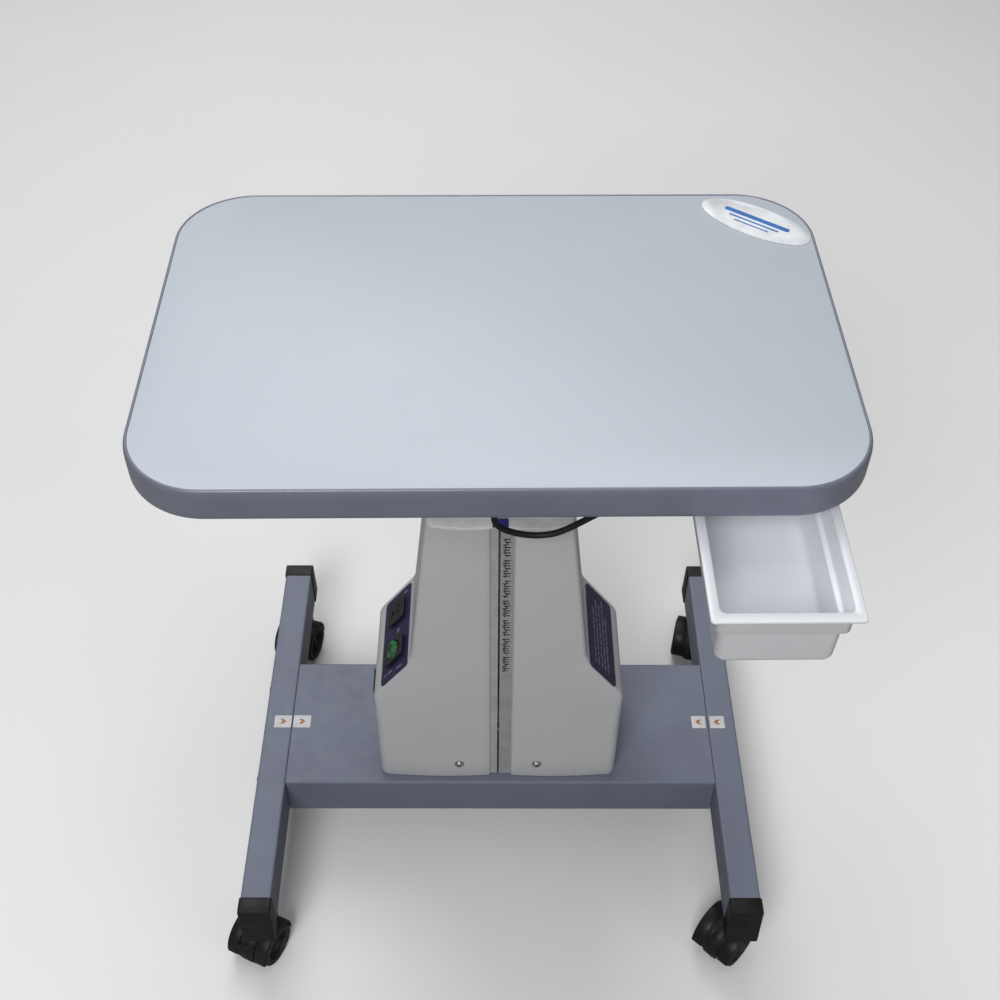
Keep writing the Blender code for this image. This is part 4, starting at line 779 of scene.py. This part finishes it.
def top_pieces():
    """The laminated board, and the rounded band round its edge."""
    low, high = BOARD_LOW_Z, TOP_Z + BOARD_RISE
    inset = BAND_WIDTH + 0.0001
    section = [(inset, low), (inset, high - 0.0007), (inset + 0.0004, high - 0.0004)]
    bm = bmesh.new()
    closed_loft(bm, board_rings(section))
    piece("tabletop_laminate", bm, LOOKS["board_top"], "lift", ("tabletop_board",))

    section = [(BAND_WIDTH, high - 0.0009), (BAND_WIDTH - 0.0003, high - 0.0002),
               (BAND_WIDTH - 0.0008, high)]
    section += quarter_ellipse((0.0027, high - 0.0080), (0.0027, 0.0080), 90)
    section += quarter_ellipse((0.0030, low + 0.0060), (0.0030, 0.0060), 180)
    section += [(BAND_WIDTH, low)]
    bm = bmesh.new()
    bridge(bm, board_rings(section), closed_stack=True)
    piece("edge_band_trim", bm, LOOKS["band"], "lift", ("edge_band",), 50.0)


top_pieces()


def badge():
    """White oval at the right rear corner, with plain bars in place of its lettering."""
    turn = Matrix.Translation((0.2465, 0.152, 0)) @ Matrix.Rotation(math.radians(-36), 4, "Z")
    matrix = TOP_FRAME @ turn
    angles = [math.radians(5 * k) for k in range(72)]
    oval = [(BADGE_HALF[0] * math.cos(a), BADGE_HALF[1] * math.sin(a)) for a in angles]
    bm = bmesh.new()
    low = TOP_Z + 0.0002
    plate_into(bm, oval, low, low + 0.0009, matrix, 0.0006)
    piece("badge_oval", bm, LOOKS["badge"], "lift", ("badge_plate",), 60.0)

    bm = bmesh.new()
    up = low + 0.00085
    for x0, x1, y0, y1 in ((-0.034, 0.034, 0.0008, 0.0062), (-0.026, 0.026, -0.0046, -0.0026),
                           (-0.018, 0.018, -0.0100, -0.0084)):
        middle = ((x0 + x1) / 2, (y0 + y1) / 2)
        outline = rounded_rectangle((x1 - x0) / 2, (y1 - y0) / 2, (y1 - y0) * 0.35, 3, middle)
        plate_into(bm, outline, up - 0.0002, up + 0.00022, matrix)
    piece("badge_bars", bm, MARK_BLUE, "lift")


badge()


# ---------------------------------------------------------------- tray
def tray():
    """Thin-walled moulding: a rim turned outwards, a step part way down and a rounded floor."""
    rim, floor = TRAY_RIM_Z, TRAY_RIM_Z - TRAY_DEPTH
    flange, wall = TRAY_RIM, TRAY_WALL

    def outline(inset, radius):
        grip = TRAY_GRIP if inset >= TRAY_RIM - 0.0003 else 0.0
        half_x, half_y = TRAY_WIDTH / 2 - inset, (TRAY_LENGTH - grip) / 2 - inset
        middle = (TRAY_X, TRAY_FRONT + (TRAY_LENGTH + grip) / 2)
        return rounded_rectangle(half_x, half_y, radius, 8, middle)

    under = rim - 0.0025
    step = under - 0.0220
    outside = [
        (0.0012, 0.0030, rim), (0.0004, 0.0032, rim - 0.0002), (0.0, 0.0034, rim - 0.0008),
        (0.0, 0.0034, under + 0.0006), (0.0003, 0.0034, under + 0.0001), (0.0008, 0.0034, under),
        (flange - 0.0010, 0.0056, under), (flange - 0.0002, 0.0058, under - 0.0004),
        (flange, 0.0060, under - 0.0012),
        (flange + 0.0001, 0.0060, step + 0.0002), (flange + 0.0004, 0.0060, step - 0.0004),
        (flange + 0.0011, 0.0062, step - 0.0009), (flange + 0.0036, 0.0066, step - 0.0012),
        (flange + 0.0043, 0.0068, step - 0.0017), (flange + 0.0045, 0.0070, step - 0.0028),
        (flange + 0.0052, 0.0080, floor + 0.0050), (flange + 0.0056, 0.0080, floor + 0.0032),
        (flange + 0.0064, 0.0080, floor + 0.0015), (flange + 0.0078, 0.0078, floor + 0.0004),
        (flange + 0.0094, 0.0076, floor),
    ]
    inner = flange + wall
    inside = [
        (inner + 0.0092, 0.0068, floor + wall), (inner + 0.0068, 0.0070, floor + wall + 0.0008),
        (inner + 0.0056, 0.0072, floor + wall + 0.0024),
        (inner + 0.0052, 0.0072, floor + wall + 0.0044),
        (inner + 0.0045, 0.0066, step - 0.0022), (inner + 0.0043, 0.0064, step - 0.0010),
        (inner + 0.0036, 0.0062, step - 0.0004), (inner + 0.0008, 0.0058, step - 0.0001),
        (inner + 0.0002, 0.0056, step + 0.0006), (inner, 0.0054, step + 0.0018),
        (inner, 0.0054, rim - 0.0018), (inner - 0.0004, 0.0052, rim - 0.0007),
        (inner - 0.0012, 0.0050, rim),
    ]
    bm = bmesh.new()
    loops = [[bm.verts.new(TOP_FRAME @ Vector((x, y, z))) for x, y in outline(inset, radius)]
             for inset, radius, z in outside + inside]
    count = len(loops[0])
    for k, lower in enumerate(loops):
        if k == len(outside) - 1:
            continue
        upper = loops[(k + 1) % len(loops)]
        # Faces inside the tray, and its floor, take the second material: a painted-light copy of the plastic.
        within = len(outside) <= k < len(loops) - 3
        for i in range(count):
            j = (i + 1) % count
            bm.faces.new((lower[i], lower[j], upper[j], upper[i])).material_index = int(within)
    bm.faces.new(loops[len(outside) - 1])
    bm.faces.new(loops[len(outside)]).material_index = 1
    made = piece("drawer_tray_moulding", bm, LOOKS["tray_white"], "drawer",
                 ("drawer_tray",), 60.0)
    # The inside gets the same plastic 1.3 times lighter: painted light that brightens the tray's interior.
    made.data.materials.append(tray_plastic("tray_inside_painted_light", 1.30))


tray()


# ---------------------------------------------------------------- rail caps, labels and small marks
def rail_caps():
    """End caps of the rails, their outer faces raked back towards the top."""
    for side in ("left", "right"):
        for end, outward in (("front", -1), ("rear", 1)):
            low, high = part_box(f"rail_cap_{end}_{side}")
            tube_low, tube_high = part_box(f"rail_{side}")
            x = (low.x + high.x) / 2
            mid_z = (low.z + high.z) / 2
            half_x, half_z = (high.x - low.x) / 2, (high.z - low.z) / 2
            near = (tube_low.y if outward < 0 else tube_high.y) + outward * 0.0003
            far = low.y if outward < 0 else high.y
            length = abs(far - near)
            profile = [(0.0013, 0.0), (0.0003, 0.0003), (0.0, 0.0012)]
            profile += [(CAP_EDGE * (1 - math.cos(a)), length - CAP_EDGE * (1 - math.sin(a)))
                        for a in (math.radians(15 * k) for k in range(7))]
            rings = []
            for inset, reach in profile:
                outline = rounded_rectangle(half_x - inset, half_z - inset, 0.0018, 4)
                ring = []
                for px, pz in outline:
                    lean = CAP_RAKE * (pz + half_z) / (2 * half_z) * (reach / length)
                    ring.append((x + px, near + outward * (reach - lean), mid_z + pz))
                rings.append(ring)
            bm = bmesh.new()
            closed_loft(bm, rings)
            piece(f"cap_moulding_{end}_{side}", bm, LOOKS["cap_black"], "base",
                  (f"rail_cap_{end}_{side}",), 50.0)


rail_caps()


def labels():
    """Small white stickers with plain arrows on the rails and the base plate."""
    for name, x0, x1 in (("rail_left", -0.2714, -0.2510), ("plate_left", -0.2487, -0.2280),
                         ("plate_right", 0.2304, 0.2470), ("rail_right", 0.2522, 0.2698)):
        y = middle_of("rail_left").y - 0.0012
        matrix = Matrix.Translation((RAIL_MIDDLE_X + (x0 + x1) / 2, y, RAIL_TOP))
        bm = bmesh.new()
        outline = rounded_rectangle((x1 - x0) / 2, 0.0086, 0.0008, 2)
        plate_into(bm, outline, 0.00005, 0.00030, matrix)
        piece(f"label_{name}", bm, STICKER_WHITE, "base")
        bm = bmesh.new()
        point = 1 if x0 < 0 else -1
        arrow = [(-0.0035, -0.0034), (0.0005, -0.0034), (0.0040, 0.0), (0.0005, 0.0034),
                 (-0.0035, 0.0034), (-0.0004, 0.0)]
        plate_into(bm, [(point * ax, ay) for ax, ay in arrow][::point], 0.00028, 0.00042, matrix)
        piece(f"label_arrow_{name}", bm, MARK_ORANGE, "base")


labels()


def notch_patch():
    """Blue patch across the seam, between the two lips."""
    top = SHROUD_HEIGHT - 0.0022
    bm = bmesh.new()
    low = (-0.0067, groove_front(SHROUD_HEIGHT) - 0.0004, top - 0.0020)
    box_into(bm, low, (0.0084, -OPENING_HALF[1] - 0.0008, top), COLUMN_FRAME)
    piece("notch_patch", bm, STRIPE_BLUE, "base")


notch_patch()


# ---------------------------------------------------------------- castors
def wheel_profile():
    """Outer face, tread with round shoulders, and inner face of a wheel along its axis."""
    r, w, shoulder = WHEEL_RADIUS, WHEEL_WIDTH, WHEEL_SHOULDER
    points = [(0.0, w * 0.93), (0.0042, w * 0.93), (0.0050, w * 0.90), (0.0056, w * 0.80)]
    points += [(0.0070, w * 0.74), (0.0150, w * 0.72), (0.0166, w * 0.76), (0.0172, w * 0.93)]
    points += [(0.0180, w * 0.985), (0.0192, w)]
    points += arc((r - shoulder, w - shoulder), shoulder, 90, 0, 6)
    points += [(r, w * 0.62), (r - 0.0003, w * 0.60), (r - 0.0003, w * 0.56), (r, w * 0.54)]
    points += arc((r - shoulder, shoulder), shoulder, 0, -90, 6)
    points += [(0.0190, 0.0), (0.0180, 0.0012), (0.0080, 0.0012), (0.0070, 0.0), (0.0, 0.0)]
    return points


def hood_rings(hub, start, end, inner, outer, x_low, x_high, steps, edge):
    """Rings along an arc about the axle: a curved plate with its outer edges rounded."""
    rings = []
    for i in range(steps + 1):
        angle = math.radians(start + (end - start) * i / steps)
        section = [(x_low, inner), (x_low, outer - edge), (x_low + edge * 0.3, outer - edge * 0.3),
                   (x_low + edge, outer), (x_high - edge, outer),
                   (x_high - edge * 0.3, outer - edge * 0.3), (x_high, outer - edge),
                   (x_high, inner)]
        across, up = math.cos(angle), math.sin(angle)
        rings.append([hub @ Vector((x, r * across, r * up)) for x, r in section])
    return rings


def castor_body_bm(matrix):
    """Middle block between the wheels, a fender over each wheel, and the swivel boss."""
    bm = bmesh.new()
    hub = matrix @ Matrix.Translation((0, -CASTOR_TRAIL, WHEEL_RADIUS))
    for sign in (-1, 1):
        x_low, x_high = sorted((sign * 0.0104, sign * 0.0247))
        closed_loft(bm, hood_rings(hub, -8, 182, 0.0262, 0.0288, x_low, x_high, 34, 0.0016))
        outline = arc((0, 0), 0.0270, -10, 184, 34)
        closed_loft(bm, [[hub @ Vector((x, y, z)) for y, z in outline]
                         for x in sorted((sign * 0.0058, sign * 0.0062))])
    closed_loft(bm, hood_rings(hub, 146, 182, 0.0258, 0.0282, -0.0108, -0.0082, 12, 0.0004))
    rings = []
    for x, shrink in ((-0.00616, 0.0022), (-0.00588, 0.00077), (-0.0049, 0.0), (0.0049, 0.0),
                      (0.00588, 0.00077), (0.00616, 0.0022)):
        outline = arc((0, 0), BLOCK_RADIUS - shrink, -30, 206, 40)
        rings.append([hub @ Vector((x, y, z)) for y, z in outline])
    closed_loft(bm, rings)
    for sign in (-1, 1):
        x_low, x_high = sorted((sign * 0.0058, sign * 0.0088))
        closed_loft(bm, hood_rings(hub, -26, 200, 0.0254, 0.0282, x_low, x_high, 34, 0.0010))
    turned_into(bm, [(0.0, -0.0058), (0.0068, -0.0058), (0.0068, 0.0058), (0.0, 0.0058)], 28,
                hub @ Z_TO_X)
    boss = [(0.0, 0.0600), (0.0060, 0.0600), (0.0060, 0.0592), (0.0112, 0.0590), (0.0124, 0.0580),
            (0.0126, 0.0560), (0.0120, 0.0552), (0.0120, 0.0546), (0.0136, 0.0530),
            (0.0140, 0.0440), (0.0130, 0.0400), (0.0, 0.0400)]
    turned_into(bm, boss, 36, matrix)
    nut = [(0.0, 0.0636), (0.0082, 0.0636), (0.0082, 0.0594), (0.0, 0.0594)]
    turned_into(bm, nut, 6, matrix)
    return bm


def socket_bm(matrix):
    """A short dark socket in the middle block's rounded front."""
    bm = bmesh.new()
    hub = matrix @ Matrix.Translation((0, -CASTOR_TRAIL, WHEEL_RADIUS))
    angle = math.radians(146)
    y, z = BLOCK_RADIUS * math.cos(angle), BLOCK_RADIUS * math.sin(angle)
    aim = hub @ Matrix.Translation((0, y, z)) @ Matrix.Rotation(angle - math.pi / 2, 4, "X")
    profile = [(0.0, -0.0012), (0.0020, -0.0012), (0.0020, 0.0), (0.0017, 0.00025),
               (0.0013, 0.0001), (0.0012, -0.0006), (0.0, -0.0006)]
    turned_into(bm, profile, 20, aim)
    return bm


def castors():
    """Four twin-wheel castors, each turned as its joints in the frame stand at rest."""
    for end in ("front", "rear"):
        for side in ("left", "right"):
            key = f"{end}_{side}"
            swivel = joint_named(f"castor_swivel_{key}")
            axis = joint_named(f"wheel_spin_{key}_a")["axis"]
            turn = math.atan2(axis[1], axis[0])
            place = Matrix.Translation((swivel["pos_m"][0], swivel["pos_m"][1], 0))
            matrix = place @ Matrix.Rotation(turn, 4, "Z")
            piece(f"castor_hood_{key}", castor_body_bm(matrix), LOOKS["castor_black"],
                  f"castor_{key}", (f"castor_body_{key}",), 40.0)
            piece(f"castor_socket_{key}", socket_bm(matrix), DARK_MARK_AND_SHADE, f"castor_{key}")
            for wheel_side, sign in (("a", -1), ("b", 1)):
                bm = bmesh.new()
                inner_face = (sign * WHEEL_INNER_X, -CASTOR_TRAIL, WHEEL_RADIUS)
                facing = Matrix.Rotation(0.0 if sign > 0 else math.pi, 4, "Z")
                spin = matrix @ Matrix.Translation(inner_face) @ facing @ Z_TO_X
                turned_into(bm, wheel_profile(), 56, spin)
                low = (0.0052, -0.0009, WHEEL_WIDTH * 0.70)
                high = (0.0174, 0.0009, WHEEL_WIDTH * 0.86)
                for k in range(6):
                    box_into(bm, low, high, spin @ Matrix.Rotation(math.radians(60 * k), 4, "Z"))
                wheel = f"{key}_{wheel_side}"
                piece(f"castor_tyre_{wheel}", bm, LOOKS["wheel_black"], f"wheel_{wheel}",
                      (f"castor_wheel_{wheel}",), 40.0)


castors()


# ---------------------------------------------------------------- cable
def cable():
    """Smooth cable along the CAD cable's own centre line."""
    base = Vector((RAIL_MIDDLE_X, middle_of("rail_left").y, 0))
    hang = CABLE_HANG_Y
    knots = [(-0.0105, -0.072, BOARD_LOW_Z - 0.006), (-0.0100, -0.086, 0.655),
             (-0.0090, hang, 0.600), (-0.0064, hang, 0.577), (0.0087, hang, 0.566),
             (0.0310, hang, 0.562), (0.0513, hang, 0.567), (0.0775, hang, 0.586),
             (0.0940, -0.104, 0.612), (0.1020, -0.118, 0.650),
             (middle_of("control_box").x - base.x, -0.130, BOARD_LOW_Z - 0.012)]
    points = [Vector(k) + base for k in knots]
    padded = [2 * points[0] - points[1], *points, 2 * points[-1] - points[-2]]
    path = []
    per_span = 8
    for a, b, c, d in zip(padded, padded[1:], padded[2:], padded[3:]):
        for i in range(per_span):
            t = i / per_span
            path.append(0.5 * (2 * b + (c - a) * t + (2 * a - 5 * b + 4 * c - d) * t ** 2
                               + (3 * b - a - 3 * c + d) * t ** 3))
    path.append(points[-1])
    rings = []
    side = Vector((0, 1, 0))
    angles = [2 * math.pi * i / CABLE_SIDES for i in range(CABLE_SIDES)]
    for k, point in enumerate(path):
        ahead = (path[min(k + 1, len(path) - 1)] - path[max(k - 1, 0)]).normalized()
        side = (side - ahead * side.dot(ahead)).normalized()
        other = ahead.cross(side)
        rings.append([point + CABLE_RADIUS * (math.cos(a) * side + math.sin(a) * other)
                      for a in angles])
    bm = bmesh.new()
    closed_loft(bm, rings)
    piece("cable_sheath", bm, LOOKS["cable_black"], "lift", ("control_cable",), 60.0)


cable()


# ---------------------------------------------------------------- stage, lights and camera
def stage():
    """Floor that the camera sees nearly white, and that throws less light back on the table."""
    bm = bmesh.new()
    bmesh.ops.create_grid(bm, x_segments=2, y_segments=2, size=FLOOR_HALF)
    mesh = mesh_from(bm, "floor")
    floor = linked("floor", mesh)
    look = Surface("floor_paper", (0.80, 0.80, 0.80), 0.8)
    look.mottled((0.785, 0.785, 0.785), 3.0)
    seen = look.tree.nodes.new("ShaderNodeLightPath").outputs["Is Camera Ray"]
    dimmed = look.tree.nodes.new("ShaderNodeMix")
    dimmed.data_type = "RGBA"
    dimmed.inputs["A"].default_value = (*FLOOR_BOUNCE, 1)
    look.link(look.colour_out, dimmed.inputs["B"])
    look.link(seen, dimmed.inputs["Factor"])
    look.colour_out = dimmed.outputs["Result"]
    mesh.materials.append(look.done())


stage()


def area_light(name, place, size, power):
    light = bpy.data.lights.new(name, "AREA")
    light.shape = "SQUARE"
    light.size = size
    light.energy = power
    made = linked(name, light)
    made.location = place
    made.rotation_euler = (LIT_POINT - Vector(place)).to_track_quat("-Z", "Y").to_euler()


def lights():
    """Soft room light, brighter where the camera sees it directly, and four area lights."""
    world = bpy.data.worlds.new("studio")
    world.use_nodes = True
    background = world.node_tree.nodes["Background"]
    background.inputs["Color"].default_value = (0.97, 0.99, 1.0, 1)
    seen = world.node_tree.nodes.new("ShaderNodeLightPath").outputs["Is Camera Ray"]
    strength = world.node_tree.nodes.new("ShaderNodeMapRange")
    strength.inputs["To Min"].default_value = ROOM_STRENGTH
    strength.inputs["To Max"].default_value = BACKDROP_STRENGTH
    world.node_tree.links.new(seen, strength.inputs["Value"])
    world.node_tree.links.new(strength.outputs["Result"], background.inputs["Strength"])
    bpy.context.scene.world = world
    area_light("key", (-0.7, -2.5, 2.85), 1.4, 76.0)
    area_light("overhead", (0.0, 0.3, 4.4), 2.6, 42.0)
    area_light("rear", (-0.6, 2.4, 3.3), 2.4, 66.0)
    area_light("side", (2.6, -1.9, 2.0), 1.8, 10.0)


lights()


def camera():
    """Camera turned about Z, tipped down, then rolled about its own axis."""
    turn_c, turn_s = math.cos(CAMERA_TURN), math.sin(CAMERA_TURN)
    down_c, down_s = math.cos(CAMERA_DOWN), math.sin(CAMERA_DOWN)
    roll_c, roll_s = math.cos(CAMERA_ROLL), math.sin(CAMERA_ROLL)
    right = Vector((turn_c, -turn_s, 0))
    level = Vector((turn_s, turn_c, 0))
    up = Vector((0, 0, 1))
    ahead = level * down_c - up * down_s
    down = -level * down_s - up * down_c
    side = roll_c * right - roll_s * down
    below = roll_s * right + roll_c * down
    data = bpy.data.cameras.new("camera")
    data.sensor_width = SENSOR_MM
    data.lens = CAMERA_FOCAL * SENSOR_MM
    made = linked("camera", data)
    matrix = Matrix((side, -below, -ahead)).transposed().to_4x4()
    matrix.translation = CAMERA_PLACE
    made.matrix_world = matrix
    bpy.context.scene.camera = made


camera()
bpy.context.scene.view_settings.view_transform = "Standard"
